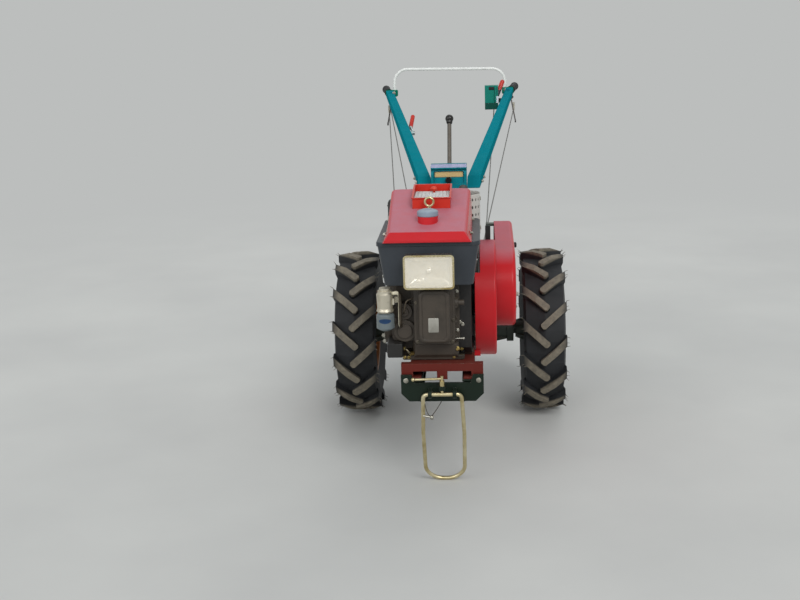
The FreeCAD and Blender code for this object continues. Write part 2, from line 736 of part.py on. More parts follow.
def tank_section(y, top, low_half, crown_half):
    """Cross-section of the tank with round shoulders."""
    z0 = hopper_top
    r = min(16.0, (top - z0) * 0.6)
    k = r * (1 - math.sqrt(0.5))
    left, right = tank_x - crown_half, tank_x + crown_half
    edges = [Part.LineSegment(V(tank_x - low_half, y, z0), V(left, y, top - r)).toShape(),
             Part.Arc(V(left, y, top - r), V(left + k, y, top - k), V(left + r, y, top)).toShape(),
             Part.LineSegment(V(left + r, y, top), V(right - r, y, top)).toShape(),
             Part.Arc(V(right - r, y, top), V(right - k, y, top - k), V(right, y, top - r)).toShape(),
             Part.LineSegment(V(right, y, top - r), V(tank_x + low_half, y, z0)).toShape(),
             Part.LineSegment(V(tank_x + low_half, y, z0), V(tank_x - low_half, y, z0)).toShape()]
    return Part.Wire(edges)


def fuel_tank():
    """Sloping tank, low at the front, drawn in at its rear, with a neck and a well for the tray."""
    crown_start = -tank_front + 20
    shoulder = -tank_rear - 26
    bodies = [((-tank_front, hopper_top + tank_lip, tank_half, tank_crown_front + 8),
               (crown_start, tank_slope_start, tank_half, tank_crown_front)),
              ((crown_start, tank_slope_start, tank_half, tank_crown_front),
               (shoulder, crown_z(shoulder), tank_half, tank_crown_rear)),
              ((shoulder, crown_z(shoulder), tank_half, tank_crown_rear),
               (-tank_rear, tank_slope_end - 8, tank_half - 18, tank_crown_rear - 18))]
    lofts = [Part.makeLoft([tank_section(*first), tank_section(*last)], True, True) for first, last in bodies]
    neck = Part.makeCylinder(cap_radius - 1.5, neck_height + 14, V(tank_x, cap_y, crown_z(cap_y) - 14))
    well = box(tray_x - tray_half, tray_x + tray_half, -tray_front, -tray_front + tray_length,
               tray_rim_z - tray_depth, tray_rim_z + 60)
    return lofts[0].fuse(lofts[1:] + [neck]).removeSplitter().cut(well)


def tank_cap():
    """Round cap with a gripped edge and a domed top."""
    base = crown_z(cap_y) + neck_height
    r = cap_radius
    top = cap_height
    outline = [(0, 0), (0, r - 2), (2, r), (top - 8, r), (top - 5, r - 2), (top - 3, r - 6), (top, r - 15),
               (top, 0)]
    return upright(outline, V(tank_x, cap_y, base))


def filler_tray():
    """Open box over the radiator's filler, let into the tank, with a level rim."""
    x0, x1 = tray_x - tray_half, tray_x + tray_half
    y0 = -tray_front
    y1 = y0 + tray_length
    floor = tray_rim_z - tray_depth
    rise = tray_rim_z + tray_rim_rise
    wall = tray_wall
    shell = side_profile([(y0, floor), (y0, tray_rim_z), (y1, rise), (y1, floor)], x0, x1)
    flange = side_profile([(y0 - wall, tray_rim_z - wall), (y0 - wall, tray_rim_z), (y1 + wall, rise),
                           (y1 + wall, rise - wall)], x0 - wall, x1 + wall)
    inside = box(x0 + wall, x1 - wall, y0 + wall, y1 - wall, floor + wall, rise + 10)
    well = fuel_tank()
    return longest(shell.fuse(flange).cut(inside).cut(well))


def lifting_ring():
    """Eye bolt in front of the tray, its foot cut to the tank's slope."""
    y = -tray_front - ring_gap
    middle = tray_rim_z - 10
    ring = Part.makeTorus(ring_radius, ring_wire, V(engine_x, y, middle), V(0, 1, 0))
    shank = rod(V(engine_x, y, crown_z(y)), V(engine_x, y, middle - ring_radius + 2), 6)
    collar = rod(V(engine_x, y, crown_z(y) - 4), V(engine_x, y, crown_z(y) + 9), 12)
    slope = (tank_slope_end - tank_slope_start) / (tank_front - 20 - tank_rear) * 60
    low, high = crown_z(y) - slope, crown_z(y) + slope
    under = side_profile([(y - 60, low - 60), (y - 60, low), (y + 60, high), (y + 60, high - 60)],
                         engine_x - 60, engine_x + 60)
    return ring.fuse([shank, collar]).removeSplitter().cut(under)


def headlamp_housing():
    """Rectangular lamp body that tapers back to its foot on the radiator's housing."""
    x0, x1 = lamp_x - lamp_width / 2, lamp_x + lamp_width / 2
    z0, z1 = lamp_middle_z - lamp_height / 2, lamp_middle_z + lamp_height / 2
    front = -lamp_reach + lens_bulge
    back = front + lamp_depth
    edge = lamp_bezel
    shell = round_along(box(x0, x1, front, back, z0, z1), V(0, 1, 0), 12.0)
    bowl = frustum(rectangle(x0 + 8, x1 - 8, z0 + 8, z1 - 8, back),
                   rectangle(x0 + 40, x1 - 40, z0 + 28, z1 - 28, -hopper_front + 4))
    seat = round_along(box(x0 + edge, x1 - edge, front - 1, front + 6, z0 + edge, z1 - edge), V(0, 1, 0), 8.0)
    return shell.fuse(bowl).removeSplitter().cut([seat, radiator()])


def headlamp_lens():
    """Glass that fills the lamp's front and bulges forward."""
    edge = lamp_bezel + seat_gap
    x0, x1 = lamp_x - lamp_width / 2 + edge, lamp_x + lamp_width / 2 - edge
    z0, z1 = lamp_middle_z - lamp_height / 2 + edge, lamp_middle_z + lamp_height / 2 - edge
    back = -lamp_reach + lens_bulge + 6
    glass = round_along(box(x0, x1, -lamp_reach - 1, back, z0, z1), V(0, 1, 0), 8.0)
    half = lamp_width / 2 - edge
    sphere = (half * half + lens_bulge * lens_bulge) / (2 * lens_bulge)
    bulge = Part.makeCylinder(sphere, lamp_height, V(lamp_x, -lamp_reach + sphere, z0 - edge))
    return glass.common(bulge)


# Filter, pipes, air cleaner and silencer
def filter_head():
    """Alloy head that hangs the fuel filter under the corner of the radiator's housing."""
    height = hopper_bottom - filter_neck_z - 10
    body = upright([(2, 0), (2, 24), (8, 28), (16, 25), (height - 12, 27), (height - 6, 22), (height, 22),
                    (height, 18), (height + 8, 18), (height + 8, 0)], V(filter_x, filter_y, filter_neck_z))
    arm = box(filter_x + 10, head_left - 50, filter_y + 20, -block_front, pump_top + 12, pump_top + 32)
    link = box(filter_x, filter_x + 30, filter_y - 9, filter_y + 32, pump_top + 12, pump_top + 32)
    return body.fuse([link, arm]).removeSplitter().cut(cylinder_head())


def fuel_filter():
    """Round canister with a pressed foot."""
    h = filter_height
    r = filter_radius
    return upright([(0, 0), (0, 14), (4, 16), (5, r - 5), (9, r), (h - 7, r), (h - 4, r - 2), (h - 2, r - 4),
                    (h, 20), (h + 2, 20), (h + 2, 0)], V(filter_x, filter_y, filter_neck_z - h))


def fuel_pipes():
    """Fuel hose from filter to pump and the steel injection pipe from pump to head."""
    face = -block_front - pump_reach
    start = V(filter_x + 20, filter_y, filter_neck_z + 62)
    hang = filter_x + filter_radius + 18
    hose = bent_bar([start, V(hang + 2, filter_y - 2, start.z + 6), V(hang, filter_y - 2, filter_neck_z - 40),
                     V(hang, face + 8, filter_neck_z - 58)], [12, 20], 6.0)
    inner = head_left - 34
    pipe = bent_bar([V(inner, face - 4, pump_z + 64), V(inner, face - 30, pump_z + 66),
                     V(inner + 10, face - 32, pump_top + 22),
                     V(head_left + 6, -head_front + 12, pump_top + 30)], [10, 14], 3.0)
    casting = cylinder_head()
    return Part.makeCompound([longest(hose.cut([casting, filter_head()])), longest(pipe.cut(casting))])


def stack(x, radius, top):
    """Upright canister with pressed beads, on a bent pipe out of the back of the engine."""
    length = top - stack_bottom
    bead = radius + stack_bead
    lower = [(0, radius - 14), (5, radius - 5), (14, radius), (22, radius), (23, bead), (25, bead),
             (26, radius)]
    upper = [(length - along, r) for along, r in reversed(lower)]
    body = upright([(0, 0)] + lower + upper + [(length, 0)], V(x, stack_y, stack_bottom))
    level = block_top - 26
    pipe = bent_bar([V(x, stack_y, stack_bottom + 5), V(x, stack_y, level), V(x, -block_rear - 30, level)],
                    [20.0], stack_pipe)
    return body.fuse(pipe.cut(crankcase())).removeSplitter()


def air_cleaner():
    """Air cleaner behind the housing on its right side, with a round cap over its inlet."""
    cap = upright([(-5, 0), (-5, 22), (8, 22), (8, 36), (12, 40), (18, 36), (22, 24), (24, 0)],
                  V(cleaner_x, stack_y, cleaner_top))
    return stack(cleaner_x, cleaner_radius, cleaner_top).fuse(cap).removeSplitter()


def muffler():
    """Silencer behind the housing on its left side, its outlet bent back."""
    top = muffler_top
    outlet = bent_bar([V(muffler_x, stack_y, top - 5), V(muffler_x, stack_y, top + 20),
                       V(muffler_x, stack_y + 48, top + 30)], [16.0], stack_pipe)
    return stack(muffler_x, muffler_radius, top).fuse(outlet).removeSplitter()


# Belt drive and guards
def loop_wire(x, y0, z0, r0, y1, z1, r1):
    """Outline round two circles, in the plane at x."""
    a = V(x, y0, z0)
    b = V(x, y1, z1)
    along = b - a
    gap = along.Length
    along.normalize()
    up = V(1, 0, 0).cross(along)
    if up.z < 0:
        up = up * -1
    tilt = math.asin((r0 - r1) / gap)

    def spot(centre, radius, sign):
        return centre + along * (radius * math.sin(tilt)) + up * (sign * radius * math.cos(tilt))

    edges = [Part.Arc(spot(a, r0, -1), a - along * r0, spot(a, r0, 1)).toShape(),
             Part.LineSegment(spot(a, r0, 1), spot(b, r1, 1)).toShape(),
             Part.Arc(spot(b, r1, 1), b + along * r1, spot(b, r1, -1)).toShape(),
             Part.LineSegment(spot(b, r1, -1), spot(a, r0, -1)).toShape()]
    return Part.Wire(edges)


def loop_solid(x0, x1, grow, y0, z0, r0, y1, z1, r1):
    """Slab round two circles, grown by one amount."""
    return Part.Face(loop_wire(x0, y0, z0, r0 + grow, y1, z1, r1 + grow)).extrude(V(x1 - x0, 0, 0))


def drive_belts():
    """Three V-belts round both pulleys, each wedged into its grooves."""
    wide = belt_width / 2 - seat_gap
    foot = belt_proud - belt_thickness
    narrow = wide - belt_thickness * groove_slope
    belts = []
    for i in range(belt_count):
        x = belt_x + (i - (belt_count - 1) / 2) * belt_pitch
        path = loop_wire(x, crank_y, crank_z, engine_pulley_radius, clutch_y, clutch_z, clutch_pulley_radius)
        start = path.Edges[0].Vertexes[0].Point
        out = (start - V(x, crank_y, crank_z)).normalize()
        section = [start + V(side, 0, 0) + out * height for side, height in
                   ((-wide, belt_proud), (wide, belt_proud), (narrow, foot), (-narrow, foot))]
        belts.append(path.makePipeShell([Part.makePolygon(section + section[:1])], True, False))
    return Part.makeCompound(belts)


def clutch_pulley():
    """Large grooved pulley with a holed web on the gearbox's input shaft."""
    half = pulley_half
    r = clutch_pulley_radius
    bore = 16 + seat_gap
    outline = [(-half, bore), (-half, 40), (-8, 46), (-8, r - 24), (-half, r - 20), (-half, r)]
    outline += grooved(-half, r)
    outline += [(half, r), (half, r - 20), (8, r - 24), (8, 46), (half - 8, 40), (half - 8, bore)]
    holes = []
    for i in range(5):
        turn = math.radians(72 * i)
        holes.append(disc(belt_x - half, belt_x + half, clutch_y + 71 * math.cos(turn),
                          clutch_z + 71 * math.sin(turn), 17))
    return turned(outline, V(belt_x, clutch_y, clutch_z)).cut(holes)


def flywheel_guard():
    """Curved sheet round the front half of the flywheel, notched for the radiator's housing."""
    r = flywheel_radius + 11
    x0 = flywheel_guard_inner
    x1 = guard_inner
    front = box(x0 - 9, x1 + 9, crank_y - r - 9, crank_y + 40, crank_z - r - 9, crank_z + r + 9)
    ring = round_at(disc(x0, x1, crank_y, crank_z, r), V(1, 0, 0), x1, 7.0)
    inner_face = x1 - guard_wall
    inside = round_at(disc(x0 - 1, inner_face, crank_y, crank_z, r - guard_wall), V(1, 0, 0), inner_face, 4.0)
    notch = box(x0 - 1, engine_x + hopper_half_high + 2, crank_y - r, crank_y + r,
                hopper_bottom - 2, hopper_top)
    ring = ring.cut([inside, disc(x0, x1 + 1, crank_y, crank_z, flywheel_radius - 30), notch]).common(front)
    bar = frame_x + rail_half
    foot = box(bar, x0 + 16, crank_y - 122, crank_y - 96, rail_top, rail_top + 22)
    return ring.fuse(foot.cut(disc(bar - 1, x1, crank_y, crank_z, r - 1))).removeSplitter()


def belt_guard():
    """Pressed cover over belts and clutch pulley, with a rolled outer edge."""
    circles = guard_front_circle + guard_rear_circle
    outer = loop_solid(guard_inner + seat_gap, guard_outer, 0, *circles)
    inner = loop_solid(guard_inner - 1, guard_outer - guard_wall, -guard_wall, *circles)
    cover = round_at(outer, V(1, 0, 0), guard_outer, guard_edge)
    return cover.cut(round_at(inner, V(1, 0, 0), guard_outer - guard_wall, guard_edge - guard_wall))


# Handle frame and its controls
def handle_base():
    """Tapered column with a foot, between the gearbox's lid and the dash."""
    z0 = gearbox_top + gearbox_lid
    x = arm_foot.x
    low = Part.Wire(round_rectangle(x - 60, x + 60, -18, 82, z0, 12.0))
    top = Part.Wire(round_rectangle(x - dash_half + 2, x + dash_half - 2, 22, 108, dash_bottom, 12.0))
    foot = round_along(box(x - 68, x + 68, -26, 86, z0, z0 + 10), V(0, 0, 1), 14.0)
    return Part.makeLoft([low, top], True, True).fuse(foot).removeSplitter()


def dash_box():
    """Box between the arms with a hooded top and a panel let into its front."""
    z0 = dash_bottom
    x0, x1 = arm_foot.x - dash_half, arm_foot.x + dash_half
    outline = [(18, z0), (8, z0 + 67), (22, z0 + dash_height), (104, z0 + dash_height - 3), (116, z0)]
    shell = round_along(side_profile(outline, x0, x1), V(1, 0, 0), 12.0, lambda p: p.z > z0 + 40)
    top = z0 + dash_height + 2
    hood = side_profile([(14, z0 + 84), (0, z0 + 90), (0, z0 + 94), (24, top), (40, top), (40, z0 + 84)],
                        x0, x1)
    panel = box(x0 + 10, x1 - 10, 0, 20, z0 + 30, z0 + 78)
    return shell.fuse(hood).removeSplitter().cut(round_along(panel, V(0, 1, 0), 8.0))


def arm_spot(side, share):
    """Point on the middle line of one arm, and half its width there."""
    x0 = arm_foot.x + side * arm_foot_half
    x1 = arm_end.x + side * arm_end_half
    spot = V(x0 + (x1 - x0) * share, arm_foot.y + (arm_end.y - arm_foot.y) * share,
             arm_foot.z + (arm_end.z - arm_foot.z) * share)
    return spot, (arm_foot_width + (arm_end_width - arm_foot_width) * share) / 2


def grip_point(side, y):
    """Point on the line of one grip, which bends out and up from its arm."""
    share = (y - arm_end.y) / grip_run.y
    return V(arm_end.x + side * (arm_end_half + grip_run.x * share), y, arm_end.z + grip_run.z * share)


def arm(side):
    """Tapered box-section arm with a leaning foot, the crossbar's clamp and the tube for its grip."""
    ends = []
    for share, height in ((0.0, arm_foot_height), (1.0, arm_end_height)):
        spot, half = arm_spot(side, share)
        ends.append(rectangle(spot.x - half, spot.x + half, spot.z - height / 2, spot.z + height / 2, spot.y))
    foot, top = ends
    lean_share = arm_foot_lean / (arm_end.y - arm_foot.y)
    for corner in (2, 3):
        foot[corner] = foot[corner] + (top[corner] - foot[corner]) * lean_share
    beam = frustum(foot, top)
    long_edges = [e for e in beam.Edges if e.Length > arm_end.y / 2]
    beam = beam.makeFillet(5.0, long_edges)
    tube = rod(grip_point(side, arm_end.y - 40), grip_point(side, grip_end_y - 6), handle_tube_radius)
    socket = rod(grip_point(side, arm_end.y - 30), grip_point(side, arm_end.y + 8), handle_tube_radius + 3)
    near = crossbar_middle + side * (crossbar_half - 14)
    far = grip_point(side, crossbar_y).x + side * (handle_tube_radius + 3)
    clamp = box(near, far, crossbar_y - 14, crossbar_y + 14, crossbar_foot - 30, crossbar_foot)
    clamp = round_along(clamp, V(0, 1, 0), 6.0)
    return beam.fuse([tube, socket, clamp]).removeSplitter()


def grip(side):
    """Ribbed rubber sleeve over the end of an arm's tube."""
    start = grip_point(side, grip_end_y - grip_length)
    run = (grip_point(side, grip_end_y) - start)
    axis = V(run).normalize()
    out = axis.cross(V(1, 0, 0)).normalize()
    r = grip_radius
    end = run.Length
    outline = [(0, 0), (0, r), (5, r), (7, r - 3)]
    for i in range(7):
        at = 18 + i * (end - 36) / 7
        outline += [(at, r - 3), (at + 2, r - 1.5), (at + 7, r - 1.5), (at + 9, r - 3)]
    outline += [(end - 12, r - 3), (end - 5, r), (end, r), (end, 0)]
    bore = rod(grip_point(side, grip_end_y - grip_length - 5), grip_point(side, grip_end_y - 6),
               handle_tube_radius + seat_gap)
    return turned(outline, start, axis, out).cut(bore)


def crossbar():
    """Bent tube that joins the two arms over the driver's hands."""
    y = crossbar_y
    x0 = crossbar_middle - crossbar_half
    x1 = crossbar_middle + crossbar_half
    top = crossbar_top - crossbar_radius
    path = [V(x0, y, crossbar_foot), V(x0, y, top + crossbar_tilt), V(x1, y, top), V(x1, y, crossbar_foot)]
    return bent_bar(path, [crossbar_corner, crossbar_corner], crossbar_radius)


def lever_point(side, share):
    """Point on the middle line of one steering lever."""
    return V(lever_top.x + side * (lever_half + lever_drop.x * share), lever_top.y + lever_drop.y * share,
             lever_top.z + lever_drop.z * share)


def steering_lever(side):
    """Flat squeeze lever with a round tip, hanging from its pivot block under the arm."""
    ends = []
    for share, wide in ((0.0, lever_wide), (1.0, lever_wide - 4)):
        p = lever_point(side, share)
        corners = ((-1, -1), (1, -1), (1, 1), (-1, 1))
        ends.append([V(p.x + i * lever_thick / 2, p.y + k * wide / 2, p.z) for i, k in corners])
    blade = frustum(*ends)
    tip = lever_point(side, 1.0)
    end = disc(tip.x - lever_thick / 2, tip.x + lever_thick / 2, tip.y, tip.z, lever_wide / 2 - 2)
    top = lever_point(side, 0.0)
    pivot = box(top.x - 8, top.x + 8, top.y - 12, top.y + 12, top.z - 4, top.z + 24)
    pin = disc(top.x - 12, top.x + 12, top.y, top.z + 3, 4)
    return longest(blade.fuse([end, pivot, pin]).removeSplitter().cut(arm(side)))


def clutch_place():
    """Point on the left arm's inner face beside the clutch box."""
    spot, half = arm_spot(1, clutch_share)
    return V(spot.x - half, spot.y, spot.z)


def control_rods():
    """Pull rods from the hand levers to the steering arms and the clutch."""
    place = clutch_place()
    ends = [(lever_point(-1, 0.62), steering_shaft_ends[0]), (lever_point(-1, 0.34), steering_shaft_ends[1]),
            (lever_point(1, 0.53), steering_shaft_ends[2]), (place + V(-38, 0, -41), clutch_arm_end)]
    stops = gearbox().fuse([steering_lever(-1), steering_lever(1), clutch_box()])
    rods = [rod(a, b, rod_radius).cut(stops) for a, b in ends]
    return Part.makeCompound([longest(r) for r in rods])


def throttle_lever():
    """Small lever with a round grip on the inside of the right-hand arm."""
    spot, half = arm_spot(-1, throttle_share)
    hinge = V(spot.x + half, spot.y, spot.z - 10)
    pivot = rod(hinge - V(6, 0, 0), hinge + V(24, 0, 0), 9)
    stem = rod(hinge + V(18, 0, 0), hinge + V(3, 50, 24), 4)
    handle = rod(hinge + V(3, 48, 16), hinge + V(12, 98, 62), 9)
    knob = Part.makeSphere(9, hinge + V(12, 98, 62))
    return longest(pivot.fuse([stem, handle, knob]).removeSplitter().cut(arm(-1)))


def clutch_box():
    """Channel bracket with a stepped block at its foot, inside the left-hand arm."""
    p = clutch_place()
    outer = box(p.x - 79, p.x - 19, p.y - 26, p.y + 24, p.z - 43, p.z + 64)
    inner = box(p.x - 70, p.x - 18, p.y - 18, p.y + 25, p.z - 22, p.z + 49)
    step = box(p.x - 60, p.x - 32, p.y - 18, p.y + 12, p.z - 43, p.z - 14)
    foot = box(p.x - 25, p.x + 12, p.y - 20, p.y + 20, p.z - 13, p.z + 3)
    return longest(outer.cut(inner).fuse([step, foot]).removeSplitter().cut(arm(1)))


def clutch_lever():
    """Lever in the channel with its hand grip and round end."""
    p = clutch_place()
    stem = rod(p + V(-56, 4, -20), p + V(-24, 14, 22), 6)
    handle = rod(p + V(-24, 14, 16), p + V(2, 51, 75), 10)
    end = Part.makeSphere(10, p + V(2, 51, 75))
    return longest(stem.fuse([handle, end]).removeSplitter().cut([clutch_box(), arm(1)]))


def gear_lever():
    """Rod with a ball knob, out of a rubber boot at the back of the dash."""
    base = V(arm_foot.x, 128, dash_bottom + 37)
    knob = base + V(0, 172, 217)
    run = (knob - base).normalize()
    stem = rod(base, knob, 8.3)
    folds = [(0, 0), (0, 26), (8, 26), (10, 21), (14, 24), (18, 19), (22, 21), (26, 14), (34, 12), (34, 0)]
    boot = turned(folds, base - run * 14, run, V(1, 0, 0))
    collar = turned([(0, 0), (0, 11), (6, 13), (12, 11), (12, 0)], knob - run * 22, run, V(1, 0, 0))
    shape = stem.fuse([Part.makeSphere(16.5, knob), boot, collar]).removeSplitter()
    return longest(shape.cut(dash_box()))


# Front stand
def stand_clamp():
    """Screw with an L-shaped handle that holds the stand."""
    low = stand_z + stand_radius + seat_gap
    z = clamp_handle_z
    screw = rod(V(frame_x, stand_y, low), V(frame_x, stand_y, z + 10), clamp_radius)
    handle = rod(V(frame_x, stand_y, z), V(frame_x - clamp_handle_length, stand_y, z - 2), 4)
    knob = Part.makeSphere(6.5, V(frame_x - clamp_handle_length, stand_y, z - 2))
    collar = rod(V(frame_x, stand_y, clamp_boss_z + 14), V(frame_x, stand_y, z - 6), 8)
    return screw.fuse([handle, knob, collar]).removeSplitter()


def front_stand():
    """Closed loop of round bar: top bar in the bumper's eyes, legs leaning back, rounded foot."""
    length = (stand_z - stand_radius) / math.cos(lean)

    def spot(x, down):
        return V(frame_x + x, stand_y + down * math.sin(lean), stand_z - down * math.cos(lean))

    w = stand_width / 2 - stand_radius
    s = stand_spread / 2 - stand_radius
    points = [spot(0, 0), spot(w, 0), spot(s, length * 0.45), spot(s - 2, length), spot(-s + 2, length),
              spot(-s, length * 0.45), spot(-w, 0), spot(0, 0)]
    radii = [stand_corner, 200, stand_foot_radius, stand_foot_radius, 200, stand_corner]
    return bent_bar(points, radii, stand_radius)


# Wheels
def faceted(points):
    """Ring of flat facets about the X axis, from (along, radius) points."""
    faces = []
    for i in range(tyre_flats):
        a, b = [2 * math.pi * (i + k) / tyre_flats for k in (0, 1)]
        for (x0, r0), (x1, r1) in zip(points, points[1:] + points[:1]):
            faces.append([V(x, r * math.sin(t), r * math.cos(t)) for x, r, t in
                          ((x0, r0, a), (x1, r1, a), (x1, r1, b), (x0, r0, b))])
    return solid_from(faces)


def lug_block(row):
    """Slanting bar for one lug at the top of the tyre, wider at its foot, its inner end chamfered."""
    slant = math.radians(lug_angle)
    run = V(math.cos(slant), math.sin(slant), 0)
    across = V(-math.sin(slant), math.cos(slant), 0)
    start = run * (-lug_overlap / run.x)
    end = run * (tyre_width / 2 / run.x + 30)
    middle_y = (tyre_width / 2 - lug_overlap) / 2 * math.tan(slant)
    levels = []
    for z, spread in ((tyre_radius - lug_height - 48, lug_draft), (tyre_radius + 8, 0.0)):
        half = lug_width / 2 + spread
        nose = start - run * spread
        plan = [nose + across * (half - 6), nose + run * 6 + across * half, end + across * half,
                end - across * half, nose + run * 6 - across * half, nose - across * (half - 6)]
        levels.append([V(row * p.x, p.y - middle_y, z) for p in plan])
    return frustum(*levels)


def tyre(side):
    """Casing with a row of slanting lugs on each side, each running past the middle of the tread."""
    half = tyre_width / 2
    base = tyre_radius - lug_height
    wall = rim_radius + 80
    middle = V(0, 0, 0)
    casing = faceted([(-bead_half, rim_radius - 2), (-half + 1, wall), (-half + 10, base - 12), (0, base),
                      (half - 10, base - 12), (half - 1, wall), (bead_half, rim_radius - 2)])
    casing = casing.cut(disc(-half, half, 0, 0, rim_radius))
    tread = faceted([(-half + 14, base - 43), (-half, base - 14), (-half, tyre_radius - lug_slope),
                     (-lug_crown, tyre_radius), (lug_crown, tyre_radius), (half, tyre_radius - lug_slope),
                     (half, base - 14), (half - 14, base - 43)])
    pitch = 360.0 / lugs_a_side
    lugs = []
    for row in (-1, 1):
        turn = lug_turn + (pitch / 2 if row > 0 else 0.0)
        first = tread.common(lug_block(row).rotate(middle, V(1, 0, 0), turn))
        lugs += [first.copy().rotate(middle, V(1, 0, 0), i * pitch) for i in range(lugs_a_side)]
    shape = casing.multiFuse(lugs).removeSplitter()
    shape.translate(V(side * wheel_x, 0, tyre_radius))
    return shape


def rim(side):
    """Drop-centre rim with turned lips and a dished, holed disc at the hub."""
    h = rim_half
    r = rim_radius - seat_gap
    t = rim_wall
    well = r - rim_well
    lip = r + rim_lip
    outline = [(-h, lip), (-h + 4, lip), (-h + 4, r), (-30, r), (-22, well), (22, well), (30, r), (h - 4, r),
               (h - 4, lip), (h, lip), (h, r - t), (34, r - t), (26, well - t), (-2, well - t),
               (-2, well - 14), (6, well - 38), (6, hub_pilot_radius), (0, hub_pilot_radius), (0, well - 40),
               (-8, well - 16), (-8, well - t), (-26, well - t), (-34, r - t), (-h, r - t)]
    centre = V(side * wheel_x, 0, tyre_radius)
    shape = turned([(side * -x, radius) for x, radius in outline], centre)
    holes = []
    reach = well - 26.5
    for i in range(rim_holes):
        turn = 2 * math.pi * i / rim_holes
        holes.append(disc(centre.x - 20, centre.x + 20, reach * math.cos(turn),
                          tyre_radius + reach * math.sin(turn), rim_hole_radius))
    return shape.cut(holes)


def hub(side):
    """Axle shaft and ribbed barrel with the flange that carries the rim."""
    face = wheel_x - rim_wall - 1
    centre = V(0, 0, tyre_radius)
    start = housing_end + 8
    pilot = hub_pilot_radius - seat_gap
    outline = [(housing_end - 50, 0), (housing_end - 50, axle_radius), (start, axle_radius),
               (start, hub_barrel_radius), (face - 12, hub_barrel_radius), (face - 12, hub_flange_radius),
               (face, hub_flange_radius), (face, pilot), (face + 10, pilot),
               (face + 14, hub_pilot_radius - 5), (face + 14, 30), (face + 22, 28), (face + 22, 0)]
    shape = turned([(side * x, radius) for x, radius in outline], centre)
    ribs = []
    for i in range(hub_ribs):
        near, far = side * (start + 4), side * (face - 10)
        rib = front_profile([(near, tyre_radius + 20), (near, tyre_radius + hub_barrel_radius + 2),
                             (far, tyre_radius + hub_flange_radius - 6), (far, tyre_radius + 20)], -4, 4)
        ribs.append(rib.rotate(centre, V(1, 0, 0), 360.0 * i / hub_ribs))
    return shape.fuse(ribs).removeSplitter()


keep("frame_rails", frame_rails())
keep("front_bumper", front_bumper())
keep("engine_bracket", engine_bracket())
keep("gearbox", gearbox())
keep("axle_housings", Part.makeCompound([axle_housing(-1), axle_housing(1)]))
keep("rear_hitch", rear_hitch())
keep("crankcase", crankcase())
keep("cylinder_head", cylinder_head())
keep("rocker_cover", rocker_cover())
keep("flywheel", flywheel())
keep("radiator", radiator())
keep("fuel_tank", fuel_tank())
keep("tank_cap", tank_cap())
keep("filler_tray", filler_tray())
keep("lifting_ring", lifting_ring())
keep("headlamp_housing", headlamp_housing())
keep("headlamp_lens", headlamp_lens())
keep("filter_head", filter_head())
keep("fuel_filter", fuel_filter())
keep("fuel_pipes", fuel_pipes())
keep("air_cleaner", air_cleaner())
keep("muffler", muffler())
keep("drive_belts", drive_belts())
keep("clutch_pulley", clutch_pulley())
keep("flywheel_guard", flywheel_guard())
keep("belt_guard", belt_guard())
keep("handle_base", handle_base())
keep("dash_box", dash_box())
keep("handle_arms", Part.makeCompound([arm(-1), arm(1)]))
keep("grips", Part.makeCompound([grip(-1), grip(1)]))
keep("crossbar", crossbar())
keep("steering_levers", Part.makeCompound([steering_lever(-1), steering_lever(1)]))
keep("control_rods", control_rods())
keep("throttle_lever", throttle_lever())
keep("clutch_box", clutch_box())
keep("clutch_lever", clutch_lever())
keep("gear_lever", gear_lever())
keep("stand_clamp", stand_clamp())
keep("tyre_left", tyre(1))
keep("tyre_right", tyre(-1))
keep("rim_left", rim(1))
keep("rim_right", rim(-1))
keep("hub_left", hub(1))
keep("hub_right", hub(-1))
keep("front_stand", front_stand())

os.makedirs("parts", exist_ok=True)
for name, shape in parts.items():
    shape.exportStep("parts/" + name + ".step")
    bounds = shape.BoundBox
    print("%-18s solids %d valid %s  x %.0f..%.0f y %.0f..%.0f z %.0f..%.0f" % (
        name, len(shape.Solids), shape.isValid(), bounds.XMin, bounds.XMax, bounds.YMin, bounds.YMax,
        bounds.ZMin, bounds.ZMax))
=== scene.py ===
"""Looks of the walking tractor: finishes for every built piece, and the small parts fixed to them."""
import math
import random

import bpy
from mathutils import Matrix, Vector


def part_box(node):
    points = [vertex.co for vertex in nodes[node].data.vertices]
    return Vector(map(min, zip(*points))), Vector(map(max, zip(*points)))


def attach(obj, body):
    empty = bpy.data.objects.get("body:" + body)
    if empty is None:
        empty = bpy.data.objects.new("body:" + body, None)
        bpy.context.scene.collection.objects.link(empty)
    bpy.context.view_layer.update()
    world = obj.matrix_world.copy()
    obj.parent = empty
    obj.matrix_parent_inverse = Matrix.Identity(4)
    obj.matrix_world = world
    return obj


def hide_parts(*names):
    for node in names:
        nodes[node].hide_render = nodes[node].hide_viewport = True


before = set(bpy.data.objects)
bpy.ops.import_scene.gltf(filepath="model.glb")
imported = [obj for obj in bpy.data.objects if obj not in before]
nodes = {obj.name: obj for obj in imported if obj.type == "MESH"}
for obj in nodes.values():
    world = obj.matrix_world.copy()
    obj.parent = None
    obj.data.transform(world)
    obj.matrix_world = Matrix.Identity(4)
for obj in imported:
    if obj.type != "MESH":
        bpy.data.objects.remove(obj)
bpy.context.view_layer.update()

random.seed(7)


# Camera. It stands where the photographer stood: about 4.6 m ahead of the axle, eyes at 1.56 m, looking
# down a little, with the picture tipped under two degrees. The lens gives 1200 pixels over 800.
axle = (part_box("tyre_left")[0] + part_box("tyre_left")[1]) / 2
axle.x = 0.0

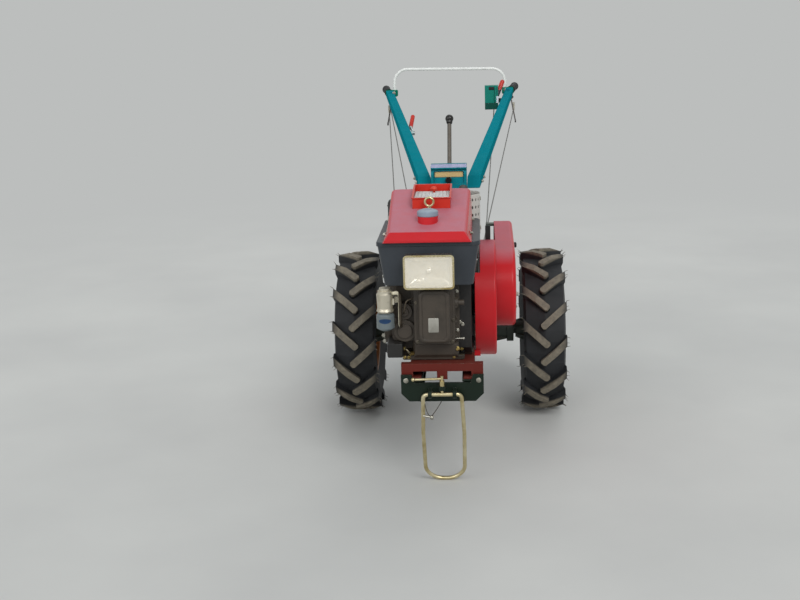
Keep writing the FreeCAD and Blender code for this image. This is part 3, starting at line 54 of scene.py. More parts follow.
aside, before, eye_height = 0.1184, 4.6022, 1.5583
eye = Vector((aside, axle.y - before, eye_height))
turn, tip, roll = (math.radians(angle) for angle in (3.95, 13.67, 1.76))
ahead = Vector((-math.sin(turn) * math.cos(tip), math.cos(turn) * math.cos(tip), -math.sin(tip)))
level = Vector((math.cos(turn), math.sin(turn), 0.0))
down = ahead.cross(level)
right = level * math.cos(roll) + down * math.sin(roll)
up = level * math.sin(roll) - down * math.cos(roll)
camera = bpy.data.objects.new("camera", bpy.data.cameras.new("camera"))
film_width, focal_pixels, picture_pixels = 36.0, 1200, 800
camera.data.sensor_width = film_width
camera.data.lens = film_width * focal_pixels / picture_pixels
camera.data.clip_end = 120.0
camera.matrix_world = Matrix.Translation(eye) @ Matrix((right, up, -ahead)).transposed().to_4x4()
bpy.context.collection.objects.link(camera)
bpy.context.scene.camera = camera


# Yard floor and light. Pale smooth concrete under the tractor, which fades some metres out into an even
# backdrop of the same grey, under three wide soft suns and a pale sky. They are studio, not tractor.
backdrop_grey = "#bcbebd"


def linear(code):
    """Colour of an sRGB hex code, as linear red, green, blue and alpha."""
    parts = [int(code[i:i + 2], 16) / 255 for i in (1, 3, 5)]
    return [p / 12.92 if p <= 0.04045 else ((p + 0.055) / 1.055) ** 2.4 for p in parts] + [1.0]


def add(tree, kind, settings=None, links=None):
    """Adds one node to a material, with its settings and the sockets that feed it."""
    node = tree.nodes.new("ShaderNode" + kind)
    for name, value in (settings or {}).items():
        if isinstance(name, str) and hasattr(node, name):
            setattr(node, name, value)
        else:
            node.inputs[name].default_value = value
    for name, source in (links or {}).items():
        tree.links.new(source, node.inputs[name])
    return node


def begin(name, **sockets):
    """Starts a material and sets its shader's plain values."""
    material = bpy.data.materials.new(name)
    material.use_nodes = True
    tree = material.node_tree
    shader = tree.nodes["Principled BSDF"]
    for socket, value in sockets.items():
        shader.inputs[socket.replace("_", " ")].default_value = value
    return material, tree, shader


def two_tones(tree, place, scale, tones, span=(0.3, 0.7), detail=4.0):
    """Noise of one size that runs between two colours."""
    noise = add(tree, "TexNoise", {"Scale": scale, "Detail": detail}, {"Vector": place})
    ramp = add(tree, "ValToRGB", {}, {"Fac": noise.outputs["Fac"]})
    for stop, position, tone in zip(ramp.color_ramp.elements, span, tones):
        stop.position = position
        stop.color = linear(tone)
    return ramp.outputs["Color"]


def seen_rays(tree):
    """1 for rays that the camera, a mirror or glass sends, and 0 for the light on the tractor."""
    path = add(tree, "LightPath")
    total = path.outputs["Is Camera Ray"]
    for kind in ("Is Glossy Ray", "Is Transmission Ray"):
        either = add(tree, "Math", {"operation": "ADD", "use_clamp": True}, {0: total, 1: path.outputs[kind]})
        total = either.outputs[0]
    return total


def yard_concrete():
    """Poured concrete, floated smooth: faint cloudy patches and grit, fading into the backdrop's grey."""
    material, tree, shader = begin("poured_concrete", Roughness=0.85)
    place = add(tree, "TexCoord").outputs["Object"]
    shade = two_tones(tree, place, 1.2, ("#c4c5c2", "#cfd0cc"), (0.3, 0.75), 6.0)
    tree.links.new(shade, shader.inputs["Base Color"])
    away = add(tree, "VectorMath", {"operation": "LENGTH"}, {0: place})
    # plain grey begins 2.4 m from the middle and is full at 6 m
    fade = add(tree, "MapRange", {"interpolation_type": "SMOOTHSTEP", "From Min": 2.4, "From Max": 6.0},
               {"Value": away.outputs["Value"]})
    amount = add(tree, "Math", {"operation": "MULTIPLY"}, {0: fade.outputs["Result"], 1: seen_rays(tree)})
    plain = add(tree, "Emission", {"Color": linear(backdrop_grey), "Strength": 1.0})
    both = add(tree, "MixShader", {}, {0: amount.outputs[0], 1: shader.outputs[0], 2: plain.outputs[0]})
    tree.links.new(both.outputs[0], tree.nodes["Material Output"].inputs["Surface"])
    return material


def start_shape(name, primitive, stretch=(1, 1, 1), **settings):
    """Starts a piece from a primitive, with nothing else selected, and applies its place and size."""
    bpy.ops.object.select_all(action="DESELECT")
    primitive(**settings)
    piece = bpy.context.object
    piece.name = name
    piece.scale = stretch
    bpy.ops.object.transform_apply(location=True, rotation=True, scale=True)
    return piece


floor = start_shape("yard_floor", bpy.ops.mesh.primitive_plane_add, size=90.0)
floor.data.materials.append(yard_concrete())

# each sun: where it shines from, its strength and how many degrees wide it is, which softens its shadow
suns = (("key_sun", (0.45, -1.0, 0.85), 1.35, 28.0), ("fill_sun", (-0.9, -1.0, 0.6), 0.8, 50.0),
        ("back_sun", (0.2, 1.0, 1.1), 0.4, 40.0))
for name, spot, strength, wide in suns:
    sun = bpy.data.objects.new(name, bpy.data.lights.new(name, "SUN"))
    sun.data.energy = strength
    sun.data.angle = math.radians(wide)
    sun.location = Vector(spot) * 5.0
    sun.rotation_euler = (-Vector(spot)).to_track_quat("-Z", "Y").to_euler()
    bpy.context.collection.objects.link(sun)

# the sky lights the tractor at a plain level, and shows as the floor's own grey behind it
world = bpy.data.worlds.new("pale_sky")
world.use_nodes = True
sky = world.node_tree
light = sky.nodes["Background"]
light.inputs["Color"].default_value = linear("#e2e5e9")
light.inputs["Strength"].default_value = 0.55
shown = add(sky, "Background", {"Color": linear(backdrop_grey), "Strength": 1.0})
choose = add(sky, "MixShader", {}, {0: seen_rays(sky), 1: light.outputs[0], 2: shown.outputs[0]})
sky.links.new(choose.outputs[0], sky.nodes["World Output"].inputs["Surface"])
bpy.context.scene.world = world
bpy.context.scene.view_settings.view_transform = "Standard"


# Frame rails, bumper plate and rear hitch. Pressed steel channels welded to an end plate, sprayed with dark
# green enamel that has gone dull, with road dust on the level faces and bare steel where edges were knocked.
def enamel(name, paint, dust_and_sheen_colour, dust_and_sheen, worn, gloss=0.35, bare="#6f6a62", shine=0.35, even=0.0):
    """Sprayed enamel on steel: slightly cloudy, a pale tint on what faces up, chips along edges.

    dust_and_sheen is how much pale tint lies on level faces, and even how little it varies there: dust, and
    where even is high a painted sky reflection; worn is how far the chips spread, and below 0 there are none;
    shine is the shader's specular level.
    """
    material, tree, shader = begin(name, Roughness=gloss, IOR=1.5, Specular_IOR_Level=shine)
    coords = add(tree, "TexCoord")
    place = coords.outputs["Object"]
    # the film is a little thicker and thinner in patches of 100 mm
    cloud = add(tree, "TexNoise", {"Scale": 10.0, "Detail": 4.0}, {"Vector": place})
    deep = [c * 0.8 for c in linear(paint)[:3]] + [1.0]
    film = add(tree, "MixRGB", {"Color1": deep, "Color2": linear(paint)}, {"Fac": cloud.outputs["Fac"]})
    # a pale tint on level faces in uneven 40 mm blotches: dust, and on the red enamels painted sky reflection
    facing = add(tree, "SeparateXYZ", {}, {"Vector": coords.outputs["Normal"]})
    flat_top = add(tree, "MapRange", {"From Min": 0.7, "From Max": 0.97, "To Max": dust_and_sheen},
                   {"Value": facing.outputs["Z"]})
    blotch = add(tree, "TexNoise", {"Scale": 26.0, "Detail": 6.0, "Roughness": 0.65}, {"Vector": place})
    blotch_cut = add(tree, "MapRange", {"From Min": 0.35, "From Max": 0.75, "To Min": even},
                     {"Value": blotch.outputs["Fac"]})
    on_level_faces = add(tree, "Math", {"operation": "MULTIPLY"},
                {0: flat_top.outputs["Result"], 1: blotch_cut.outputs["Result"]})
    thin = add(tree, "Math", {"operation": "MULTIPLY", 1: 0.1 * dust_and_sheen}, {0: blotch_cut.outputs["Result"]})
    dust_and_sheen_mask = add(tree, "Math", {"operation": "ADD", "use_clamp": True},
               {0: on_level_faces.outputs[0], 1: thin.outputs[0]})
    with_dust_and_sheen = add(tree, "MixRGB", {"Color2": linear(dust_and_sheen_colour)},
                 {"Fac": dust_and_sheen_mask.outputs[0], "Color1": film.outputs[0]})
    # chips of up to 6 mm, where the normal of a 3 mm rounding leaves the flat one
    soft_edge = add(tree, "Bevel", {"samples": 4, "Radius": 0.003})
    flat = add(tree, "NewGeometry")
    same = add(tree, "VectorMath", {"operation": "DOT_PRODUCT"},
               {0: soft_edge.outputs[0], 1: flat.outputs["Normal"]})
    near_edge = add(tree, "MapRange", {"From Min": 0.99, "From Max": 0.88},
                    {"Value": same.outputs["Value"]})
    flake = add(tree, "TexNoise", {"Scale": 170.0, "Detail": 5.0, "Roughness": 0.7}, {"Vector": place})
    flake_cut = add(tree, "MapRange", {"From Min": 0.62 - worn * 0.25, "From Max": 0.68 - worn * 0.2},
                    {"Value": flake.outputs["Fac"]})
    chip = add(tree, "Math", {"operation": "MULTIPLY"},
               {0: near_edge.outputs["Result"], 1: flake_cut.outputs["Result"]})
    chipped = add(tree, "MixRGB", {"Color2": linear(bare)},
                  {"Fac": chip.outputs[0], "Color1": with_dust_and_sheen.outputs[0]})
    tree.links.new(chipped.outputs[0], shader.inputs["Base Color"])
    # tinted faces are dull, clean paint keeps its gloss
    dull = add(tree, "MapRange", {"To Min": gloss, "To Max": 0.85}, {"Value": dust_and_sheen_mask.outputs[0]})
    tree.links.new(dull.outputs["Result"], shader.inputs["Roughness"])
    wave = add(tree, "TexNoise", {"Scale": 60.0, "Detail": 2.0}, {"Vector": place})
    bump = add(tree, "Bump", {"Strength": 0.06, "Distance": 0.002},
               {"Height": wave.outputs["Fac"], "Normal": soft_edge.outputs[0]})
    tree.links.new(bump.outputs["Normal"], shader.inputs["Normal"])
    return material


def dress(names, material):
    """Gives built pieces their finish."""
    for name in names:
        mesh = nodes[name].data
        mesh.materials.clear()
        mesh.materials.append(material)


frame_green = enamel("dark_green_enamel", "#16231a", dust_and_sheen_colour="#5d5f54", dust_and_sheen=0.15, worn=0.3, shine=0.2)
dress(["frame_rails", "front_bumper", "rear_hitch"], frame_green)


# Bolts and nuts. Hexagon heads on pressed washers, yellow or white zinc plated, one bolt in several sizes.
# The one at the origin is the pattern that the others are copied from, and it is removed at the end.
def plated_metal(name, pale, deep, polish):
    """Plated or polished metal, mostly passivated zinc: a faint drift of tone, and duller scuffs."""
    material, tree, shader = begin(name, Metallic=1.0, Roughness=polish)
    place = add(tree, "TexCoord").outputs["Object"]
    # colour drifts over 45 mm, scuffs are 6 mm
    tree.links.new(two_tones(tree, place, 22.0, (deep, pale), detail=3.0), shader.inputs["Base Color"])
    scuff = add(tree, "TexNoise", {"Scale": 160.0, "Detail": 6.0}, {"Vector": place})
    rough = add(tree, "MapRange", {"To Min": polish - 0.1, "To Max": polish + 0.16},
                {"Value": scuff.outputs["Fac"]})
    tree.links.new(rough.outputs["Result"], shader.inputs["Roughness"])
    return material


def faces_where(piece, test):
    """In edit mode, selects the faces that pass a test on their middle and normal."""
    bpy.ops.object.mode_set(mode="EDIT")
    bpy.ops.mesh.select_mode(type="FACE")
    bpy.ops.mesh.select_all(action="DESELECT")
    bpy.ops.object.mode_set(mode="OBJECT")
    for face in piece.data.polygons:
        face.select = bool(test(face.center, face.normal))
    bpy.ops.object.mode_set(mode="EDIT")


def turned_piece(name, profile, sides):
    """Round piece raised from a disc along Z by extruding its top through (height, radius) steps."""
    (low, first), (high, second) = profile[0], profile[1]
    piece = start_shape(name, bpy.ops.mesh.primitive_cone_add, vertices=sides, radius1=first, radius2=second,
                        depth=high - low, location=(0, 0, (low + high) / 2))
    for (z0, r0), (z1, r1) in zip(profile[1:], profile[2:]):
        faces_where(piece, lambda middle, normal: middle.z > z0 - 1e-5 and abs(normal.z) > 0.999)
        bpy.ops.mesh.extrude_region_move(TRANSFORM_OT_translate={"value": (0, 0, z1 - z0)})
        bpy.ops.transform.resize(value=(r1 / r0, r1 / r0, 1), center_override=(0, 0, z1))
        bpy.ops.object.mode_set(mode="OBJECT")
    bpy.ops.object.shade_smooth_by_angle(angle=math.radians(35))
    return piece


def join(pieces, name):
    """Joins pieces into the first of them."""
    bpy.ops.object.select_all(action="DESELECT")
    for piece in pieces:
        piece.select_set(True)
    bpy.context.view_layer.objects.active = pieces[0]
    if len(pieces) > 1:
        bpy.ops.object.join()
    pieces[0].name = name
    return pieces[0]


def stood(spot, axis, size=1.0, spin=0.0):
    """Matrix that stands a pattern on a spot, its Z along an axis."""
    turned = Vector(axis).to_track_quat("Z", "Y").to_matrix().to_4x4()
    return Matrix.Translation(spot) @ turned @ Matrix.Rotation(spin, 4, "Z") @ Matrix.Scale(size, 4)


def fitting(name, profile, sides, spot, axis, finish, body="tractor"):
    """Turned fitting stood on its spot along an axis, with its finish, riding on a body."""
    piece = turned_piece(name, profile, sides)
    piece.data.transform(stood(spot, axis))
    piece.data.materials.append(finish)
    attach(piece, body)


def on_skin(node, spot, outward):
    """Point of a built piece's skin under a spot, looking in from 50 mm outside it."""
    axis = Vector(outward).normalized()
    hit, place, normal, face = nodes[node].ray_cast(Vector(spot) + axis * 0.05, -axis)
    return place if hit else Vector(spot)


# the pattern is 1 across its flats, so the head's corners lie 0.577 from its middle
head = turned_piece("head", [(0.14, 0.577), (0.66, 0.577), (0.74, 0.49)], sides=6)
washer = turned_piece("washer", [(-0.02, 0.86), (0.10, 0.86), (0.14, 0.80)], sides=24)
thread_end = turned_piece("thread_end", [(0.70, 0.27), (0.90, 0.27), (0.95, 0.22)], sides=12)
bolt_pattern = join([head, washer, thread_end], "bolt_pattern")
white_zinc = plated_metal("white_zinc_bolts", pale="#c9c7bd", deep="#8f8c80", polish=0.4)
yellow_zinc = plated_metal("yellow_zinc_bolts", pale="#cdb978", deep="#94814d", polish=0.38)


def bolts(name, carrier, spots, outward, across, finish=white_zinc, body="tractor"):
    """Bolts of one axis and width across flats, seated on their carrier's skin and joined into one piece."""
    made = []
    for spot in spots:
        piece = bpy.data.objects.new(name, bolt_pattern.data.copy())
        seat = on_skin(carrier, spot, outward)
        piece.data.transform(stood(seat, outward, across, random.uniform(0, 1)))
        bpy.context.collection.objects.link(piece)
        made.append(piece)
    whole = join(made, name)
    whole.data.materials.append(finish)
    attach(whole, body)


low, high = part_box("frame_rails")
mid_x = (low.x + high.x) / 2
rail_face, bolt_height = 0.104, 0.03
for side, name in ((1, "rail_bolts_left"), (-1, "rail_bolts_right")):
    spots = [(mid_x + side * rail_face, low.y + share * (high.y - low.y), low.z + bolt_height)
             for share in (0.3, 0.62, 0.95)]
    bolts(name, "frame_rails", spots, (side, 0, 0), 0.014)
low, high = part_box("rear_hitch")
spots = [(mid_x + x, low.y + 0.01, low.z + z) for x in (-0.055, 0.055) for z in (0.015, 0.105)]
bolts("hitch_bolts", "rear_hitch", spots, (0, 1, 0), 0.018)


# Engine bracket. Two steel bars and a front plate, welded up and sprayed with a dull red-brown enamel, on
# which the engine stands over the frame rails.
red_brown = enamel("red_brown_enamel", "#64221a", dust_and_sheen_colour="#6f5a4c", dust_and_sheen=0.2, gloss=0.5, worn=0.4, shine=0.2)
dress(["engine_bracket"], red_brown)


# Front bumper and stand. A folded plate carries a bent round bar on which the tractor leans when it is
# parked; a screw with a long handle holds the bar. Both are yellow zinc, and two bolts go through the ears.
zinc = plated_metal("yellow_zinc_plate", pale="#e6dcb8", deep="#b8a672", polish=0.34)
dress(["front_stand", "stand_clamp"], zinc)
low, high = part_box("front_bumper")
ear_out, ear_back, ear_down = 0.117, 0.048, 0.019
spots = [(mid_x + side * ear_out, high.y - ear_back, high.z - ear_down) for side in (-1, 1)]
bolts("bumper_bolts", "front_bumper", spots, (0, -1, 0), 0.0095)


def bent_wire(name, points, radius, finish, body="tractor"):
    """Round wire or pipe along a smooth line, made a mesh with closed ends."""
    curve = bpy.data.curves.new(name, "CURVE")
    curve.dimensions = "3D"
    curve.bevel_depth = radius
    curve.bevel_resolution = 3
    curve.resolution_u = 6
    curve.use_fill_caps = True
    line = curve.splines.new("NURBS")
    line.points.add(len(points) - 1)
    for point, spot in zip(line.points, points):
        point.co = (*spot, 1.0)
    line.order_u = 3
    line.use_endpoint_u = True
    piece = bpy.data.objects.new(name, curve)
    bpy.context.collection.objects.link(piece)
    bpy.ops.object.select_all(action="DESELECT")
    piece.select_set(True)
    bpy.context.view_layer.objects.active = piece
    bpy.ops.object.convert(target="MESH")
    piece = bpy.context.object
    bpy.ops.object.shade_smooth()
    piece.data.materials.clear()
    piece.data.materials.append(finish)
    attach(piece, body)


# wire clip with the stand's safety pin, hung through the bumper's lower lip
dark_wire = plated_metal("oiled_spring_wire", pale="#6d675c", deep="#403c36", polish=0.45)
hang = Vector((mid_x - 0.058, low.y + 0.028, low.z + 0.004))
loop = [(0, 0, 0), (0.002, 0, -0.02), (0.01, -0.002, -0.044), (0.02, -0.003, -0.052),
        (0.028, -0.002, -0.042), (0.046, 0, -0.016), (0.056, 0, 0.002)]
bent_wire("clip_wire", [hang + Vector(point) for point in loop], 0.0012, dark_wire)
pin_profile = [(-0.008, 0.004), (0.014, 0.004), (0.016, 0.007), (0.023, 0.007), (0.026, 0.004)]
fitting("stand_pin", pin_profile, 14, hang + Vector((0.003, -0.002, -0.05)), (1, 0, -0.2), white_zinc)


# Gearbox, axle housings and hubs. Sand-cast iron under dark green enamel: the skin stays grainy. Lid, seam
# and flanges are bolted; a brass plug shows the oil's level, and the hubs carry the wheels on five nuts.
def painted_casting(name, paint, dust_and_sheen_colour="#7d7466", gloss=0.5, dust_and_sheen=0.35):
    """Enamelled iron casting: grainy skin of the sand mould, oil-dark in patches, dusty on top."""
    material, tree, shader = begin(name, Roughness=gloss)
    coords = add(tree, "TexCoord")
    place = coords.outputs["Object"]
    # oil spreads in 70 mm patches
    stain = add(tree, "TexNoise", {"Scale": 14.0, "Detail": 6.0, "Roughness": 0.6}, {"Vector": place})
    oil = add(tree, "MapRange", {"From Min": 0.5, "From Max": 0.72, "To Max": 0.6},
              {"Value": stain.outputs["Fac"]})
    film = add(tree, "MixRGB", {"Color1": linear(paint), "Color2": linear("#15130f")},
               {"Fac": oil.outputs["Result"]})
    facing = add(tree, "SeparateXYZ", {}, {"Vector": coords.outputs["Normal"]})
    flat_top = add(tree, "MapRange", {"From Min": 0.2, "From Max": 1.0, "To Min": 0.06, "To Max": dust_and_sheen},
                   {"Value": facing.outputs["Z"]})
    speck = add(tree, "TexNoise", {"Scale": 45.0, "Detail": 7.0, "Roughness": 0.7}, {"Vector": place})
    on_level_faces = add(tree, "Math", {"operation": "MULTIPLY"},
                {0: flat_top.outputs["Result"], 1: speck.outputs["Fac"]})
    with_dust_and_sheen = add(tree, "MixRGB", {"Color2": linear(dust_and_sheen_colour)},
                 {"Fac": on_level_faces.outputs[0], "Color1": film.outputs[0]})
    tree.links.new(with_dust_and_sheen.outputs[0], shader.inputs["Base Color"])
    wet = add(tree, "MapRange", {"To Min": gloss, "To Max": 0.25}, {"Value": oil.outputs["Result"]})
    tree.links.new(wet.outputs["Result"], shader.inputs["Roughness"])
    # mould sand of about 1 mm, drawn at 4 mm so that it shows
    sand = add(tree, "TexNoise", {"Scale": 250.0, "Detail": 3.0}, {"Vector": place})
    soft_edge = add(tree, "Bevel", {"samples": 4, "Radius": 0.004})
    bump = add(tree, "Bump", {"Strength": 0.25, "Distance": 0.0012},
               {"Height": sand.outputs["Fac"], "Normal": soft_edge.outputs[0]})
    tree.links.new(bump.outputs["Normal"], shader.inputs["Normal"])
    return material


dress(["gearbox", "axle_housings", "hub_left", "hub_right"], painted_casting("green_cast_iron", "#1b2a20"))
case_side, seam_height, flange_out, flange_circle = 0.104, 0.163, 0.13, 0.061
for side, name in ((1, "case_seam_bolts_left"), (-1, "case_seam_bolts_right")):
    spots = [(mid_x + side * case_side, axle.y + y, axle.z + seam_height)
             for y in (-0.19, -0.11, 0.0, 0.09, 0.14)]
    bolts(name, "gearbox", spots, (side, 0, 0), 0.013)
    flange_x = mid_x + side * flange_out
    ring = [(flange_x, axle.y + flange_circle * math.cos(a), axle.z + flange_circle * math.sin(a))
            for a in (math.radians(turned) for turned in (0, 90, 180, 270))]
    bolts(name.replace("case_seam", "axle_flange"), "axle_housings", ring, (side, 0, 0), 0.015)
spots = [(mid_x + x, axle.y - 0.155, axle.z + 0.333) for x in (-0.076, 0.076)]
bolts("lid_bolts", "gearbox", spots, (0, 0, 1), 0.013)
brass = plated_metal("turned_brass", pale="#c9a765", deep="#8f7038", polish=0.35)
for name, profile, sides, spot, outward, finish in (
        ("level_plug", [(-0.002, 0.015), (0.006, 0.015), (0.008, 0.011), (0.018, 0.011), (0.02, 0.008)], 6,
         (mid_x - 0.14, axle.y - 0.09, axle.z + 0.1), (-1, 0, 0), brass),
        ("breather", [(-0.001, 0.011), (0.012, 0.011), (0.014, 0.018), (0.026, 0.018), (0.03, 0.012)], 24,
         (mid_x - 0.05, axle.y - 0.1, axle.z + 0.33), (0, 0, 1), white_zinc),
        ("drain_plug", [(-0.002, 0.018), (0.004, 0.018), (0.005, 0.012), (0.016, 0.012), (0.018, 0.009)], 6,
         (mid_x, axle.y, axle.z - 0.12), (0, 0, -1), brass)):
    fitting(name, profile, sides, on_skin("gearbox", spot, outward), outward, finish)


# Wheels. Farm tyres of black rubber with slanting lugs, whose moulding hairs still stand on the lugs' ends,
# on orange steel rims. Each rim is held on its hub by nuts and has a brass valve through it.
def tyre_rubber(side):
    """Carbon-black rubber: blue-black and dull, taupe with yard dust on the lugs' tops."""
    material, tree, shader = begin("tyre_rubber_" + side, Roughness=0.7)
    low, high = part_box("tyre_" + side)
    place = add(tree, "TexCoord").outputs["Object"]
    about = add(tree, "VectorMath", {"operation": "SUBTRACT", 1: (low + high) / 2}, {0: place})
    apart = add(tree, "SeparateXYZ", {}, {"Vector": about.outputs["Vector"]})
    ring = add(tree, "CombineXYZ", {}, {"Y": apart.outputs["Y"], "Z": apart.outputs["Z"]})
    reach = add(tree, "VectorMath", {"operation": "LENGTH"}, {0: ring.outputs["Vector"]})
    # the lugs' tops lie 315 mm from the axle; their outer 7 mm are rubbed pale, fading out in the next 7
    tread = add(tree, "MapRange", {"From Min": 0.3005, "From Max": 0.308}, {"Value": reach.outputs["Value"]})
    grit = add(tree, "TexNoise", {"Scale": 60.0, "Detail": 7.0, "Roughness": 0.7}, {"Vector": place})
    rubbed = add(tree, "MapRange", {"From Min": 0.3, "From Max": 0.65, "To Min": 0.5},
                 {"Value": grit.outputs["Fac"]})
    pale = add(tree, "Math", {"operation": "MULTIPLY"},
               {0: tread.outputs["Result"], 1: rubbed.outputs["Result"]})
    body = two_tones(tree, place, 18.0, ("#15171a", "#222427"), (0.35, 0.7), 5.0)
    shade = add(tree, "MixRGB", {"Color2": linear("#807868")}, {"Fac": pale.outputs[0], "Color1": body})
    tree.links.new(shade.outputs[0], shader.inputs["Base Color"])
    # grit lies in 17 mm clouds, with grains down to 1 mm in its finer layers
    bump = add(tree, "Bump", {"Strength": 0.25, "Distance": 0.001}, {"Height": grit.outputs["Fac"]})
    tree.links.new(bump.outputs["Normal"], shader.inputs["Normal"])
    return material


hair_length, hair_root, longest_hair, hair_sunk, hair_apart = 0.014, 0.0015, 0.0155, 0.0006, 0.012
lug_end_width, lug_foot_radius, ground_gap = 0.012, 0.3, 0.003
hair_pattern = turned_piece("hair", [(0, hair_root), (0.006, 0.0011), (hair_length, 0.0006)], sides=3)
rim_orange = enamel("orange_enamel", "#a4622b", dust_and_sheen_colour="#8f806c", dust_and_sheen=0.3, gloss=0.42, worn=0.3)
valve_profile = [(-0.004, 0.004), (0.02, 0.004), (0.022, 0.005), (0.036, 0.005), (0.038, 0.003)]
nut_circle, valve_circle, valve_turn = 0.05, 0.128, 0.4
for side, name in ((1, "left"), (-1, "right")):
    body = "wheel_" + name
    rubber = tyre_rubber(name)
    dress(["tyre_" + name], rubber)
    dress(["rim_" + name], rim_orange)
    low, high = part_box("tyre_" + name)
    middle = (low + high) / 2
    half = (high.x - low.x) / 2
    # a hair grows from each corner of the lugs' outer ends
    spots = []
    for vertex in nodes["tyre_" + name].data.vertices:
        arm = vertex.co - middle
        on_lug_end = abs(arm.x) > half - lug_end_width and math.hypot(arm.y, arm.z) > lug_foot_radius
        if on_lug_end and all((vertex.co - other).length > hair_apart for other in spots):
            spots.append(vertex.co.copy())
    hairs = []
    for spot in spots:
        arm = spot - middle
        outward = Vector((math.copysign(0.75, arm.x), 0, 0)) + Vector((0, arm.y, arm.z)).normalized() * 0.55
        outward += Vector([random.uniform(-0.3, 0.3) for i in range(3)])
        outward.normalize()
        # none reaches the ground, which has rubbed them off
        if (spot + outward * longest_hair).z < ground_gap:
            continue
        hair = bpy.data.objects.new("hair", hair_pattern.data.copy())
        hair.data.transform(stood(spot - outward * hair_sunk, outward, random.uniform(0.8, 1.1)))
        bpy.context.collection.objects.link(hair)
        hairs.append(hair)
    tuft = join(hairs, "moulding_hairs_" + name)
    tuft.data.materials.append(rubber)
    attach(tuft, body)
    # nuts on the hub's flange, and the valve in the rim's well, leaning in to the axle
    turns = [math.radians(a + 18) for a in range(0, 360, 72)]
    outer = high.x if side > 0 else low.x
    ring = [(outer, middle.y + nut_circle * math.cos(a), middle.z + nut_circle * math.sin(a)) for a in turns]
    bolts("wheel_nuts_" + name, "hub_" + name, ring, (side, 0, 0), 0.017, body=body)
    fore, above = math.cos(valve_turn), math.sin(valve_turn)
    foot = Vector((middle.x + side * 0.036, middle.y - valve_circle * fore, middle.z + valve_circle * above))
    fitting("valve_" + name, valve_profile, 12, foot, (side, 0.35 * fore, -0.35 * above), brass, body)
bpy.data.objects.remove(hair_pattern)


# Engine. Horizontal single-cylinder diesel: block, head and rocker cover of cast iron, sprayed dark brown
# and dusty. Nuts hold the cover with its blank label; studs, screws and an oil pipe's unions stand proud.
engine_brown = painted_casting("engine_cast_iron", "#3c342b", dust_and_sheen_colour="#6b6254", dust_and_sheen=0.3, gloss=0.55)
dress(["cylinder_head", "rocker_cover"], engine_brown)


def inside(tree, low, high):
    """Mask that is 1 inside a block of the object's own space and 0 outside it."""
    place = add(tree, "TexCoord").outputs["Object"]
    middle = [(a + b) / 2 for a, b in zip(low, high)]
    half = [(b - a) / 2 for a, b in zip(low, high)]
    off = add(tree, "VectorMath", {"operation": "SUBTRACT", 1: middle}, {0: place})
    size = add(tree, "VectorMath", {"operation": "ABSOLUTE"}, {0: off.outputs[0]})
    over = add(tree, "VectorMath", {"operation": "SUBTRACT", 1: half}, {0: size.outputs[0]})
    axes = add(tree, "SeparateXYZ", {}, {"Vector": over.outputs[0]})
    wide = add(tree, "Math", {"operation": "MAXIMUM"}, {0: axes.outputs["X"], 1: axes.outputs["Y"]})
    worst = add(tree, "Math", {"operation": "MAXIMUM"}, {0: wide.outputs[0], 1: axes.outputs["Z"]})
    return add(tree, "Math", {"operation": "LESS_THAN", 1: 0.0}, {0: worst.outputs[0]}).outputs[0]


def refinish(material, mask, tones, gloss, metal=0.0):
    """Gives the masked part of a finish other colours, another gloss and metal or none."""
    tree = material.node_tree
    shader = tree.nodes["Principled BSDF"]
    place = add(tree, "TexCoord").outputs["Object"]
    fresh = two_tones(tree, place, 70.0, tones)
    old = shader.inputs["Base Color"].links[0].from_socket
    mixed = add(tree, "MixRGB", {}, {"Fac": mask, "Color1": old, "Color2": fresh})
    tree.links.new(mixed.outputs[0], shader.inputs["Base Color"])
    for socket, value in (("Roughness", gloss), ("Metallic", metal)):
        target = shader.inputs[socket]
        change = add(tree, "MapRange", {"To Min": target.default_value, "To Max": value}, {"Value": mask})
        if target.links:
            tree.links.new(target.links[0].from_socket, change.inputs["To Min"])
        tree.links.new(change.outputs["Result"], target)
    return material


# the block's left front, beside the head, is near-black: oil, and painted shade where it lies in shadow
block = painted_casting("engine_block_iron", "#3c342b", dust_and_sheen_colour="#6b6254", dust_and_sheen=0.3, gloss=0.55)
low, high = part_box("crankcase")
head_low, head_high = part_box("cylinder_head")
# painted shade and oil: this block of the casting turns near-black
oil_and_shade = inside(block.node_tree, (head_high.x - 0.034, low.y + 0.02, low.z + 0.012),
              (high.x + 0.01, high.y, high.z + 0.01))
refinish(block, oil_and_shade, ("#0f0e0d", "#1d1b19"), 0.5)
dress(["crankcase"], block)

# how far forward the faces lie that carry the studs and nose bolts; each bolt finds its seat from there
head_front, pump_front, nose_front = -0.962, -0.944, -0.978
cover_low, cover_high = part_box("rocker_cover")
spots = [(cover_low.x + 0.002, head_low.y, cover_low.z + 0.004),
         (cover_high.x - 0.002, head_low.y, cover_low.z + 0.004),
         (cover_high.x + 0.001, head_low.y, cover_low.z + 0.075),
         (cover_low.x - 0.001, head_low.y, cover_high.z - 0.05)]
oiled_steel = plated_metal("oiled_steel", pale="#7d766a", deep="#46413a", polish=0.5)
bolts("cover_nuts", "cylinder_head", spots, (0, -1, 0), 0.0075, oiled_steel)
spots = [(head_high.x - 0.024, head_front, head_high.z - drop) for drop in (0.03, 0.16)]
bolts("head_studs", "cylinder_head", spots, (0, -1, 0), 0.007)
catch_profile = [(-0.003, 0.003), (0.022, 0.003), (0.023, 0.0045), (0.030, 0.0045)]
spot = on_skin("cylinder_head", (0.036, -0.985, 0.5125), (1, 0, 0))
fitting("decompression_stud", catch_profile, 12, spot, (1, 0, 0), white_zinc)
